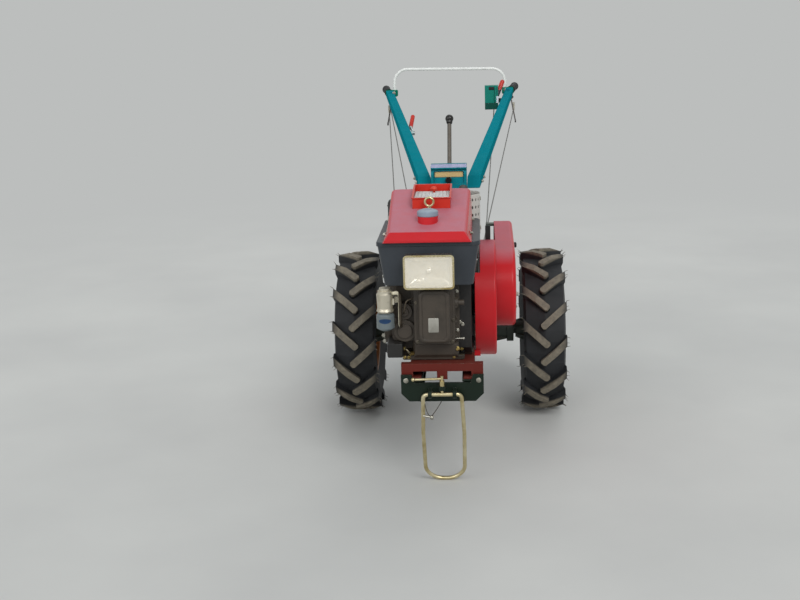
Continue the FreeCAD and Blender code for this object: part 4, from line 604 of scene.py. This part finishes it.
for name, front, spots, across, finish in (
        ("pump_studs", pump_front, ((0.050, 0.5555), (0.058, 0.549), (0.036, 0.529)), 0.008, white_zinc),
        ("nose_bolts", nose_front, ((0.041, 0.4746), (0.053, 0.4656)), 0.009, yellow_zinc),
        ("foot_bolts", nose_front, ((-0.131, 0.446), (-0.118, 0.446), (0.03, 0.446)), 0.006, yellow_zinc)):
    bolts(name, "crankcase", [(x, front, z) for x, z in spots], (0, -1, 0), across, finish)


def rounded_box(name, middle, size, corner, along):
    """Starts a piece as a box whose edges along one axis are rounded, and leaves it in edit mode."""
    piece = start_shape(name, bpy.ops.mesh.primitive_cube_add, size, size=1.0, location=middle)
    bpy.ops.object.mode_set(mode="EDIT")
    bpy.ops.mesh.select_mode(type="EDGE")
    bpy.ops.mesh.select_all(action="DESELECT")
    bpy.ops.object.mode_set(mode="OBJECT")
    spots = piece.data.vertices
    for edge in piece.data.edges:
        run = spots[edge.vertices[0]].co - spots[edge.vertices[1]].co
        edge.select = abs(run[along]) > 0.99 * run.length
    bpy.ops.object.mode_set(mode="EDIT")
    bpy.ops.mesh.bevel(offset=corner, segments=4)
    return piece


def plate(name, low, high, corner, finish, body="tractor", thin=1):
    """Flat plate with rounded corners, its middle raised by a fifth; thin is the axis it is thin along."""
    low, high = Vector(low), Vector(high)
    piece = rounded_box(name, (low + high) / 2, high - low, corner, thin)
    faces_where(piece, lambda middle, normal: abs(normal[thin]) > 0.99)
    bpy.ops.mesh.inset(thickness=corner * 0.4, depth=(high - low)[thin] * 0.2)
    bpy.ops.object.mode_set(mode="OBJECT")
    bpy.ops.object.shade_smooth_by_angle(angle=math.radians(30))
    piece.data.materials.append(finish)
    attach(piece, body)


pale_plate = plated_metal("etched_alloy_plate", pale="#bdbbb3", deep="#a09d94", polish=0.45)
spot = on_skin("rocker_cover", (-0.032, cover_low.y, 0.5735), (0, -1, 0))
plate("blank_label", (spot.x - 0.0165, spot.y - 0.0014, spot.z - 0.0235),
      (spot.x + 0.0165, spot.y + 0.0004, spot.z + 0.0235), 0.003, pale_plate)

# gear case on the right side: its cover's screws lie on two arcs, each given by its middle and radius;
# behind them stand the dipstick and the oil filler's cap
case_x = low.x + 0.014
ring = []
for y, z, radius, turns in ((-0.838, 0.534, 0.066, (120, 165, 210, 250)),
                            (-0.646, 0.564, 0.102, (-70, -20, 30, 80))):
    for a in (math.radians(turned) for turned in turns):
        ring.append((case_x, y + radius * math.cos(a), z + radius * math.sin(a)))
bolts("gear_case_screws", "crankcase", ring, (-1, 0, 0), 0.012)
dip_profile = [(-0.004, 0.006), (0.03, 0.006), (0.031, 0.009), (0.044, 0.009), (0.047, 0.006)]
spot = on_skin("crankcase", (case_x + 0.02, -0.76, 0.66), (-1, 0, 0))
fitting("dipstick", dip_profile, 16, spot, (-0.35, -0.1, 1), white_zinc)
cap_profile = [(-0.002, 0.02), (0.01, 0.02), (0.013, 0.024), (0.022, 0.024), (0.026, 0.018)]
spot = on_skin("crankcase", (low.x, -0.60, 0.66), (-1, 0, 0))
fitting("oil_filler_cap", cap_profile, 8, spot, (-1, 0, 0.3), dark_wire)

# black governor box under the pump housing, and the union nuts of its short oil pipe to the nose
governor_black = painted_casting("black_governor_iron", "#141413", dust_and_sheen_colour="#55504a", dust_and_sheen=0.2, gloss=0.45)
governor_low, governor_high = (-0.187, -0.990, 0.453), (-0.134, -0.915, 0.5035)
plate("governor_box", governor_low, governor_high, 0.006, governor_black)
pipe_steel = plated_metal("drawn_steel_pipe", pale="#a39a84", deep="#6f6753", polish=0.4)
pipe_start = (-0.138, -0.975, 0.478)
route = [pipe_start, (-0.126, -0.984, 0.478), (-0.118, -0.985, 0.470), (-0.113, -0.982, 0.461),
         (-0.100, -0.968, 0.461)]
bent_wire("governor_pipe", route, 0.0035, pipe_steel)
for name, spot, axis in (("governor_union", pipe_start, (1, -0.4, 0)),
                         ("nose_union", (-0.111, -0.979, 0.461), (1, 0.7, 0))):
    fitting(name, [(-0.003, 0.007), (0.009, 0.007), (0.011, 0.005)], 6, spot, axis, yellow_zinc)


# Belt drive. A turned iron flywheel on the crankshaft drives a clutch pulley on the gearbox through three
# rubber V-belts. The iron is bright under a thin patchy rust, and a zinc nut holds the pulley's hub.
def bare_iron(name, tone, rust="#6b4a33", spread=0.5):
    """Bare iron, steel or alloy as it left the tool: fine marks, and a thin patchy bloom of rust or dirt."""
    material, tree, shader = begin(name, Metallic=0.85, Roughness=0.42)
    place = add(tree, "TexCoord").outputs["Object"]
    bloom = add(tree, "TexNoise", {"Scale": 35.0, "Detail": 6.0}, {"Vector": place})
    rusted = add(tree, "MapRange", {"From Min": 0.55, "From Max": 0.75, "To Max": spread},
                 {"Value": bloom.outputs["Fac"]})
    tinted = add(tree, "MixRGB", {"Color1": linear(tone), "Color2": linear(rust)},
                 {"Fac": rusted.outputs["Result"]})
    tree.links.new(tinted.outputs[0], shader.inputs["Base Color"])
    rings = add(tree, "TexNoise", {"Scale": 220.0, "Detail": 2.0}, {"Vector": place})
    bump = add(tree, "Bump", {"Strength": 0.1, "Distance": 0.0005}, {"Height": rings.outputs["Fac"]})
    tree.links.new(bump.outputs["Normal"], shader.inputs["Normal"])
    return material


def even_skin(name, tone, pale, gloss=0.6):
    """Moulded rubber or plastic, or thick smooth enamel: even, with a faint bloom and a very fine grain."""
    material, tree, shader = begin(name, Roughness=gloss)
    place = add(tree, "TexCoord").outputs["Object"]
    tree.links.new(two_tones(tree, place, 80.0, (tone, pale), detail=5.0), shader.inputs["Base Color"])
    grain = add(tree, "TexNoise", {"Scale": 400.0, "Detail": 2.0}, {"Vector": place})
    bump = add(tree, "Bump", {"Strength": 0.1, "Distance": 0.0004}, {"Height": grain.outputs["Fac"]})
    tree.links.new(bump.outputs["Normal"], shader.inputs["Normal"])
    return material


black_rubber = even_skin("black_rubber", "#151617", "#242527")
dress(["flywheel", "clutch_pulley"], bare_iron("turned_grey_iron", "#83817e"))
dress(["drive_belts"], black_rubber)
low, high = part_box("clutch_pulley")
nut_profile = [(-0.004, 0.02), (0.004, 0.02), (0.005, 0.014), (0.012, 0.014), (0.014, 0.01)]
spot = Vector((high.x - 0.010, (low.y + high.y) / 2, (low.z + high.z) / 2))
fitting("clutch_hub_nut", nut_profile, 6, spot, (1, 0, 0), white_zinc)


# Guards. Sheet steel pressed with rolled edges, in glossy red enamel: one round the flywheel, one over belts
# and pulley. Screws hold them, and a black hand knob holds the outer one.
# the guards' level faces take an even pale pink: a painted sky reflection over a little dust
guard_red = enamel("guard_red_enamel", "#cc141b", dust_and_sheen_colour="#a98492", dust_and_sheen=0.5, gloss=0.26, worn=0.12, shine=0.2,
                   even=0.75)
dress(["flywheel_guard", "belt_guard"], guard_red)
black_plastic = even_skin("black_phenolic", "#121212", "#1c1c1d", 0.3)
low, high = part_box("belt_guard")
knob_profile = [(-0.001, 0.005), (0.004, 0.005), (0.005, 0.010), (0.012, 0.0105), (0.015, 0.007)]
spot = on_skin("belt_guard", (high.x, -0.336, 0.69), (1, 0, 0))
fitting("guard_knob", knob_profile, 16, spot, (1, 0, 0), black_plastic)
spots = [(high.x, -0.74, 0.60), (high.x, -0.30, 0.47), (high.x, -0.15, 0.62), (high.x, -0.52, 0.50)]
bolts("guard_screws", "belt_guard", spots, (1, 0, 0), 0.011)


# Radiator. A deep sheet-metal housing on top of the block, blue-grey enamel, whose rolled rim carries the
# fuel tank; set screws hold it at its lower edge.
hopper_grey = enamel("blue_grey_enamel", "#363b41", dust_and_sheen_colour="#7f868a", dust_and_sheen=0.25, worn=0.2)
dress(["radiator"], hopper_grey)
low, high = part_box("radiator")
spots = [(low.x, y, low.z + 0.016) for y in (low.y + 0.07, low.y + 0.2, high.y - 0.06)]
bolts("radiator_screws_right", "radiator", spots, (-1, 0, 0), 0.009)


# Headlamp. A pressed chrome shell with a thin gilt bezel; inside it a faceted bright reflector with its bulb,
# behind a pressed glass with upright flutes.
def bright_reflector():
    """Aluminised steel behind the glass: mirror-bright, cream, broken into soft pressed facets."""
    material, tree, shader = begin("aluminised_reflector", Metallic=0.4, Roughness=0.16)
    place = add(tree, "TexCoord").outputs["Object"]
    tree.links.new(two_tones(tree, place, 30.0, ("#eee6d2", "#fdf8ea")), shader.inputs["Base Color"])
    # facets of 12 mm
    facet = add(tree, "TexVoronoi", {"Scale": 85.0}, {"Vector": place})
    bump = add(tree, "Bump", {"Strength": 0.35, "Distance": 0.002}, {"Height": facet.outputs["Distance"]})
    tree.links.new(bump.outputs["Normal"], shader.inputs["Normal"])
    return material


def pressed_glass():
    """Pressed lamp glass: thin and clear with a milky veil, its upright flutes 6 mm apart."""
    material, tree, shader = begin("pressed_glass", Roughness=0.05, IOR=1.5, Alpha=0.22)
    shader.inputs["Base Color"].default_value = linear("#f6f3ea")
    place = add(tree, "TexCoord").outputs["Object"]
    # the wave's period is 2 pi over its scale and 20, so this is 6 mm
    flutes = add(tree, "TexWave", {"Scale": 2 * math.pi / 20 / 0.006, "Distortion": 0.4}, {"Vector": place})
    bump = add(tree, "Bump", {"Strength": 0.35, "Distance": 0.001}, {"Height": flutes.outputs["Fac"]})
    tree.links.new(bump.outputs["Normal"], shader.inputs["Normal"])
    return material


shell_low, shell_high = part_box("headlamp_housing")
glass_low, glass_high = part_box("headlamp_lens")
gilt = plated_metal("gilt_bezel", pale="#e6dcb6", deep="#bda873", polish=0.22)
chrome = plated_metal("chromed_shell", pale="#c8c8c4", deep="#a3a39e", polish=0.2)
mirror = bright_reflector()
lamp_back = shell_low.y + 0.034
centre_x, centre_z = (glass_low.x + glass_high.x) / 2, (glass_low.z + glass_high.z) / 2
width, height, bezel_width, glass_seat = 0.160, 0.110, 0.0055, 0.0062
lamp = rounded_box("headlamp_shell", (centre_x, (shell_low.y + lamp_back) / 2, centre_z),
                   (width, lamp_back - shell_low.y, height), corner=0.012, along=1)
# the back draws in to a foot on the radiator
faces_where(lamp, lambda middle, normal: normal.y > 0.99)
foot = shell_high.y - lamp_back
for along, scale in ((0.006, 0.9), (foot * 0.5, 0.72), (foot - 0.006 - foot * 0.5, 0.8)):
    bpy.ops.mesh.extrude_region_move(TRANSFORM_OT_translate={"value": (0, along, 0)})
    bpy.ops.transform.resize(value=(scale, 1, scale), center_override=(centre_x, 0, centre_z))
# the front is sunk in steps: bezel, seat of the glass and the bowl
faces_where(lamp, lambda middle, normal: normal.y < -0.99)
bpy.ops.mesh.inset(thickness=bezel_width)
for along, across, upward in ((glass_seat, 1.0, 1.0), (0.008, 0.93, 0.93), (0.009, 0.86, 0.84),
                              (0.008, 0.7, 0.66), (0.004, 0.5, 0.5)):
    bpy.ops.mesh.extrude_region_move(TRANSFORM_OT_translate={"value": (0, along, 0)})
    bpy.ops.transform.resize(value=(across, 1, upward), center_override=(centre_x, 0, centre_z))
bpy.ops.object.mode_set(mode="OBJECT")
for finish in (chrome, gilt, mirror):
    lamp.data.materials.append(finish)
for face in lamp.data.polygons:
    off_x, off_z = abs(face.center.x - centre_x), abs(face.center.z - centre_z)
    on_bezel = face.center.y < shell_low.y + 0.001
    in_bowl = off_x < width / 2 - 0.006 and off_z < height / 2 - 0.006 and face.center.y < lamp_back + 0.002
    face.material_index = 1 if on_bezel else (2 if in_bowl else 0)
bpy.ops.object.shade_smooth_by_angle(angle=math.radians(24))
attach(lamp, "tractor")
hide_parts("headlamp_housing")
dress(["headlamp_lens"], pressed_glass())
bulb_profile = [(-0.003, 0.010), (0.004, 0.010), (0.006, 0.007), (0.012, 0.0085), (0.018, 0.0075),
                (0.021, 0.003)]
fitting("lamp_bulb", bulb_profile, 24, (centre_x, shell_low.y + 0.0395, centre_z), (0, -1, 0), mirror)


# Fuel tank with its cap, the filler tray and the lifting ring. Deep-drawn tank in bright red enamel, grey
# pressed cap, orange-red tray with a white wire screen and the red float of the water level in it.
# the tank's level faces take an even pale pink: a painted sky reflection over a little dust
tank_red = enamel("signal_red_enamel", "#cc161c", dust_and_sheen_colour="#b08d9c", dust_and_sheen=0.62, gloss=0.2, worn=0.1, shine=0.25,
                  even=0.75)
dress(["fuel_tank"], tank_red)
cap_grey = enamel("blue_grey_cap_enamel", "#8e9dab", dust_and_sheen_colour="#b9bfc2", dust_and_sheen=0.2, worn=0.3)
dress(["tank_cap"], cap_grey)
tray_red = enamel("orange_red_enamel", "#d3301f", dust_and_sheen_colour="#c9a9a0", dust_and_sheen=0.15, gloss=0.28, worn=-0.4)
dress(["filler_tray"], tray_red)
dress(["lifting_ring"], zinc)
low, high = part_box("filler_tray")
screen_white = enamel("white_wire_coating", "#dcdedb", dust_and_sheen_colour="#a9a79f", dust_and_sheen=0.15, gloss=0.4, worn=0.1)
tray_mid = (low.x + high.x) / 2
both_walls, wire_thickness, screen_height = 0.0155, 0.0034, 0.036


def apply_modifier(piece, kind, **settings):
    """Adds one modifier to a piece and applies it."""
    modifier = piece.modifiers.new(kind.lower(), kind)
    for name, value in settings.items():
        setattr(modifier, name, value)
    bpy.ops.object.modifier_apply(modifier=modifier.name)


screen = start_shape("tray_screen", bpy.ops.mesh.primitive_grid_add,
                     (high.x - low.x - both_walls, high.y - low.y - both_walls, 1.0), size=1.0,
                     x_subdivisions=10, y_subdivisions=14,
                     location=(tray_mid, (low.y + high.y) / 2, low.z + screen_height))
apply_modifier(screen, "WIREFRAME", thickness=wire_thickness)
screen.data.materials.append(screen_white)
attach(screen, "tractor")
float_red = even_skin("red_float_plastic", "#c5331f", "#dc4a30", 0.35)
float_profile = [(-0.002, 0.004), (0.006, 0.004), (0.007, 0.010), (0.014, 0.012), (0.020, 0.008)]
spot = (tray_mid + 0.004, high.y - 0.03, low.z + 0.0365)
fitting("water_float", float_profile, 16, spot, (0, 0, 1), float_red)
low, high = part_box("fuel_tank")
for side, face_x, name in ((-1, low.x, "tank_screws_right"), (1, high.x, "tank_screws_left")):
    spots = [(face_x, y, low.z + 0.012) for y in (low.y + 0.09, high.y - 0.1)]
    bolts(name, "fuel_tank", spots, (side, 0, 0), 0.010)


# Fuel filter. A grey-blue enamelled canister with a plain dark blue oval, under a cast alloy head, with a
# cream hose down to the pump and the steel injection pipe beside it.
filter_blue = enamel("pale_blue_enamel", "#6b7477", dust_and_sheen_colour="#9a9e9e", dust_and_sheen=0.2, gloss=0.25, worn=0.1)
low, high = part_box("fuel_filter")
tree = filter_blue.node_tree
oval_mid = Vector(((low.x + high.x) / 2, low.y, low.z + 0.036))
place = add(tree, "TexCoord").outputs["Object"]
from_oval = add(tree, "VectorMath", {"operation": "SUBTRACT", 1: oval_mid}, {0: place})
# 40 mm wide and 16 mm high: 1 over its half sizes in metres
round_off = add(tree, "VectorMath", {"operation": "MULTIPLY", 1: (50.0, 30.0, 125.0)},
                {0: from_oval.outputs[0]})
reach = add(tree, "VectorMath", {"operation": "LENGTH"}, {0: round_off.outputs[0]})
oval = add(tree, "Math", {"operation": "LESS_THAN", 1: 1.0}, {0: reach.outputs["Value"]})
refinish(filter_blue, oval.outputs[0], ("#15304f", "#1d3f66"), 0.3)
dress(["fuel_filter"], filter_blue)
dress(["filter_head"], bare_iron("cast_alloy", "#cdc6b4", rust="#8f866f", spread=0.35))
hose = even_skin("cream_hose", "#c9c2a8", "#d6d0ba", 0.45)
low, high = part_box("fuel_pipes")
steel = inside(hose.node_tree, (high.x - 0.048, low.y - 0.01, low.z),
               (high.x + 0.01, high.y + 0.01, high.z + 0.01))
dress(["fuel_pipes"], refinish(hose, steel, ("#3f382e", "#554c40"), 0.4, 0.6))


# Air cleaner and silencer. Rolled black canisters on bent pipes behind the radiator. The cleaner has a clamp
# band, and the silencer's left side a pale heat shield: a curved sheet with rows of holes, on two feet.
stove_black = enamel("black_stove_enamel", "#1a1918", dust_and_sheen_colour="#6f6a62", dust_and_sheen=0.3, gloss=0.5, worn=0.25,
                     bare="#5d4a3c")
dress(["air_cleaner", "muffler"], stove_black)
low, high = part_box("air_cleaner")
can = Vector(((low.x + high.x) / 2, (low.y + high.y) / 2, 0))
band_radius, band_width, band_thick = 0.0578, 0.016, 0.0016
band = start_shape("cleaner_band", bpy.ops.mesh.primitive_cylinder_add, vertices=40, radius=band_radius,
                   depth=band_width, end_fill_type="NOTHING", location=can + Vector((0, 0, high.z - 0.09)))
apply_modifier(band, "SOLIDIFY", thickness=band_thick, offset=1.0)
apply_modifier(band, "BEVEL", width=band_thick * 0.3, limit_method="ANGLE")
bpy.ops.object.shade_smooth_by_angle(angle=math.radians(30))
band.data.materials.append(white_zinc)
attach(band, "tractor")

low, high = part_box("muffler")
pot = Vector(((low.x + high.x) / 2, high.y - (high.x - low.x) / 2, 0))
pot_radius = (high.x - low.x) / 2 - 0.0022
panels, rows, shield_low, shield_tall = 48, 11, 0.768, 0.148
shield = start_shape("silencer_shield", bpy.ops.mesh.primitive_cylinder_add, vertices=panels,
                     radius=pot_radius + 0.008, depth=shield_tall, end_fill_type="NOTHING",
                     location=(pot.x, pot.y, shield_low + shield_tall / 2))
# the shield covers the left side alone
faces_where(shield, lambda middle, normal: middle.x < pot.x + pot_radius * 0.3)
bpy.ops.mesh.delete(type="FACE")
for row in range(1, rows):
    bpy.ops.mesh.select_all(action="SELECT")
    bpy.ops.mesh.bisect(plane_co=(0, 0, shield_low + shield_tall * row / rows), plane_no=(0, 0, 1))
bpy.ops.object.mode_set(mode="OBJECT")


def holed(middle, normal):
    """Every second panel, both ways, gets a hole."""
    column = round(math.atan2(middle.y - pot.y, middle.x - pot.x) / (2 * math.pi / panels) - 0.5)
    row = int((middle.z - shield_low) / shield_tall * rows)
    return column % 2 == 0 and row % 2 == 1


faces_where(shield, holed)
bpy.ops.mesh.inset(thickness=0.001, use_individual=True)
bpy.ops.mesh.delete(type="FACE")
bpy.ops.object.mode_set(mode="OBJECT")
apply_modifier(shield, "SOLIDIFY", thickness=0.0014)
apply_modifier(shield, "SUBSURF", levels=1, render_levels=1)
bpy.ops.object.shade_smooth_by_angle(angle=math.radians(30))
heat_pale = enamel("pale_heat_enamel", "#d0cec6", dust_and_sheen_colour="#9f988c", dust_and_sheen=0.2, gloss=0.4, worn=0.3)
shield.data.materials.append(heat_pale)
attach(shield, "tractor")
half_foot = Vector((0.0048, 0.006, 0.007))
for height in (0.79, 0.895):
    foot = Vector((pot.x + pot_radius + 0.004, pot.y, height))
    plate("shield_foot_%d" % (1000 * height), foot - half_foot, foot + half_foot, 0.002, white_zinc, thin=0)


# Handle column and dash. Welded sheet boxes in teal enamel between the gearbox and the arms. The dash has a
# hood whose top front edge is painted pale lilac as a highlight, a blank cream plate let into its front
# and a black stop knob.
teal_colour, teal_dust = "#128491", "#6fa0a4"
teal = enamel("teal_enamel", teal_colour, dust_and_sheen_colour=teal_dust, dust_and_sheen=0.05, gloss=0.5, worn=0.15, shine=0.0)
dress(["handle_base", "handle_arms"], teal)
dash_teal = enamel("teal_dash_enamel", teal_colour, dust_and_sheen_colour=teal_dust, dust_and_sheen=0.05, gloss=0.4, worn=0.15,
                   shine=0.1)
low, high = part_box("dash_box")
# a painted highlight: the hood's top front strip is pale lilac, as the sky on its edge
hood_edge_highlight = inside(dash_teal.node_tree, (low.x - 0.01, low.y - 0.01, high.z - 0.010),
              (high.x + 0.01, low.y + 0.03, high.z + 0.01))
refinish(dash_teal, hood_edge_highlight, ("#8f93b4", "#a7a9c4"), 0.4)
dress(["dash_box"], dash_teal)
cream = enamel("cream_plate_enamel", "#dcbf86", dust_and_sheen_colour="#a79f86", dust_and_sheen=0.2, gloss=0.3, worn=0.1)
spot = on_skin("dash_box", ((low.x + high.x) / 2, low.y, 0.9285), (0, -1, 0))
plate_low, plate_high = Vector((-0.055, -0.0014, -0.0105)) + spot, Vector((0.055, 0.0006, 0.0115)) + spot
plate("blank_dash_plate", plate_low, plate_high, 0.003, cream)
knob_profile = [(-0.002, 0.005), (0.010, 0.005), (0.011, 0.011), (0.018, 0.013), (0.024, 0.010)]
spot = on_skin("dash_box", (0.002, low.y, 0.9075), (0, -1, 0))
fitting("stop_knob", knob_profile, 18, spot, (0, -1, 0), black_plastic)
spots = [((low.x + high.x) / 2 + x, low.y + 0.01, low.z + 0.016) for x in (-0.05, 0.05)]
bolts("dash_screws", "dash_box", spots, (0, -1, 0), 0.009)
base_low, base_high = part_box("handle_base")
mid = (base_low + base_high) / 2
spots = [(mid.x + x, y, base_low.z + 0.01) for x in (-0.061, 0.061)
         for y in (base_low.y + 0.007, base_high.y - 0.007)]
bolts("column_foot_bolts", "handle_base", spots, (0, 0, 1), 0.0085)


# Handle arms, crossbar and grips. Tapered box-section arms in teal enamel end in tubes with ribbed rubber
# grips; a thin white tube joins them over the driver's hands, its feet held in greener clamps by screws.
low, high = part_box("crossbar")
arms_low, arms_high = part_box("handle_arms")
clamps = inside(teal.node_tree, (arms_low.x, low.y - 0.012, low.z - 0.034),
                (arms_high.x, high.y + 0.012, low.z + 0.004))
refinish(teal, clamps, ("#0e6b56", "#138068"), 0.35)
dress(["crossbar"], even_skin("white_enamel", "#d9dbd7", "#eceeea", 0.32))
dress(["grips"], black_rubber)
for side, x in (("right", low.x + 0.0065), ("left", high.x - 0.0065)):
    bolts("clamp_screw_" + side, "handle_arms", [(x, low.y - 0.009, low.z - 0.011)], (0, -1, 0), 0.009)
# the arms' feet rise 0.21 to the metre, from 0.88 m high where the arms begin
foot_out, foot_start, foot_height, foot_rise = 0.125, -0.076, 0.88, 0.21
for side, name in ((1, "arm_foot_bolts_left"), (-1, "arm_foot_bolts_right")):
    spots = [(0.003 + side * foot_out, y, foot_height + (y - foot_start) * foot_rise) for y in (-0.035, 0.01)]
    bolts(name, "handle_arms", spots, (side, 0, 0), 0.009)


# Steering levers and control rods. Flat forged levers under the arms, dark with handling, each with a pale
# return spring; bright drawn rods run from them down to the gearbox.
dress(["steering_levers"], bare_iron("handled_steel", "#4d4b4a", rust="#5a4534", spread=0.3))
dress(["control_rods"], bare_iron("drawn_rod_steel", "#8b8986", rust="#6b5a4a", spread=0.3))
low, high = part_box("steering_levers")
spring_steel = plated_metal("spring_wire_zinc", pale="#cfc9b4", deep="#a39a7e", polish=0.35)
# seven turns of eight steps
coil_steps, coil_radius, coil_length = 56, 0.0062, 0.036
for side, x in (("right", low.x + 0.010), ("left", high.x - 0.010)):
    hang = Vector((x, (low.y + high.y) / 2 + 0.012, high.z - 0.045))
    coil = []
    for step in range(coil_steps + 1):
        a = step * 2 * math.pi / 8
        drop = -coil_length * step / coil_steps
        coil.append(hang + Vector((coil_radius * math.cos(a), coil_radius * math.sin(a), drop)))
    bent_wire("return_spring_" + side, coil, 0.0011, spring_steel)


# Throttle, clutch and gear levers. Small steel levers with red plastic grips inside each arm, the clutch
# lever in a green channel with a white latch; the gear lever is a grey-brown rod with a black ball.
def grip_plastic(name, stem_low, stem_high, stem_tones, stem_metal):
    """Dipped red plastic on a steel lever, whose bare stem lies in a block of its own."""
    material = even_skin(name, "#b3241b", "#c63a2c", 0.38)
    stem = inside(material.node_tree, stem_low, stem_high)
    return refinish(material, stem, stem_tones, 0.4, stem_metal)


stem_length = 0.056
low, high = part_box("throttle_lever")
stem_high = (high.x, low.y + stem_length, high.z)
dress(["throttle_lever"], grip_plastic("throttle_plastic", low, stem_high, ("#9fb0b0", "#c3cfcd"), 0.8))
low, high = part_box("clutch_lever")
stem_high = (high.x, high.y, low.z + stem_length)
dress(["clutch_lever"], grip_plastic("clutch_plastic", low, stem_high, ("#26202c", "#3a3240"), 0.2))
box_low, box_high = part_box("clutch_box")
green = enamel("green_teal_enamel", "#148272", dust_and_sheen_colour="#6c9488", dust_and_sheen=0.1, gloss=0.36, worn=0.2, shine=0.2)
dress(["clutch_box"], green)
dark_green = enamel("shaded_green_enamel", "#0b4a40", dust_and_sheen_colour="#4c6a62", dust_and_sheen=0.2, gloss=0.45, worn=0.2,
                    shine=0.2)
plate("clutch_box_step", (box_low.x + 0.001, box_low.y - 0.007, box_low.z + 0.001),
      (box_low.x + 0.057, box_low.y + 0.001, box_low.z + 0.030), 0.003, dark_green)
# the slot is a thin black plate proud of the box's face: painted shade standing in for its opening
plate("clutch_box_slot_shadow", (box_low.x + 0.018, box_low.y - 0.0012, box_high.z - 0.019),
      (box_low.x + 0.042, box_low.y + 0.0006, box_high.z - 0.005), 0.003, black_plastic)
plate("clutch_box_flange", (box_low.x + 0.046, box_low.y - 0.010, box_low.z + 0.034),
      (box_low.x + 0.0505, box_low.y + 0.001, box_high.z - 0.006), 0.0015, green, thin=0)
latch_white = even_skin("white_latch_plastic", "#c9d2dc", "#dfe6ec", 0.35)
plate("clutch_latch", (0.2005, box_low.y - 0.003, 1.126), (0.2135, box_low.y + 0.012, 1.157),
      0.003, latch_white)
plate("latch_catch", (0.212, box_low.y + 0.001, 1.131), (0.2275, box_low.y + 0.014, 1.147),
      0.003, black_plastic)

gear_steel = bare_iron("gear_rod_steel", "#77716a", rust="#5f5347", spread=0.4)
low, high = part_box("gear_lever")
ball = inside(gear_steel.node_tree, (low.x, high.y - 0.04, high.z - 0.045),
              (high.x, high.y + 0.01, high.z + 0.01))
refinish(gear_steel, ball, ("#141312", "#201d1b"), 0.3)
boot = inside(gear_steel.node_tree, (low.x - 0.01, low.y - 0.01, low.z - 0.01),
              (high.x + 0.01, low.y + 0.09, low.z + 0.062))
refinish(gear_steel, boot, ("#171717", "#242424"), 0.6)
dress(["gear_lever"], gear_steel)


# Stop bracket. A small upright tab of black plastic, the last piece on. It stands on the flywheel guard's
# top, at its back corner.
low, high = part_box("flywheel_guard")
spot = on_skin("flywheel_guard", (high.x - 0.025, high.y - 0.012, high.z), (0, 0, 1))
plate("stop_bracket", (spot.x - 0.009, spot.y - 0.002, spot.z - 0.003),
      (spot.x + 0.009, spot.y + 0.002, spot.z + 0.05), 0.003, black_plastic)


# The bolt pattern goes.
bpy.data.objects.remove(bolt_pattern)
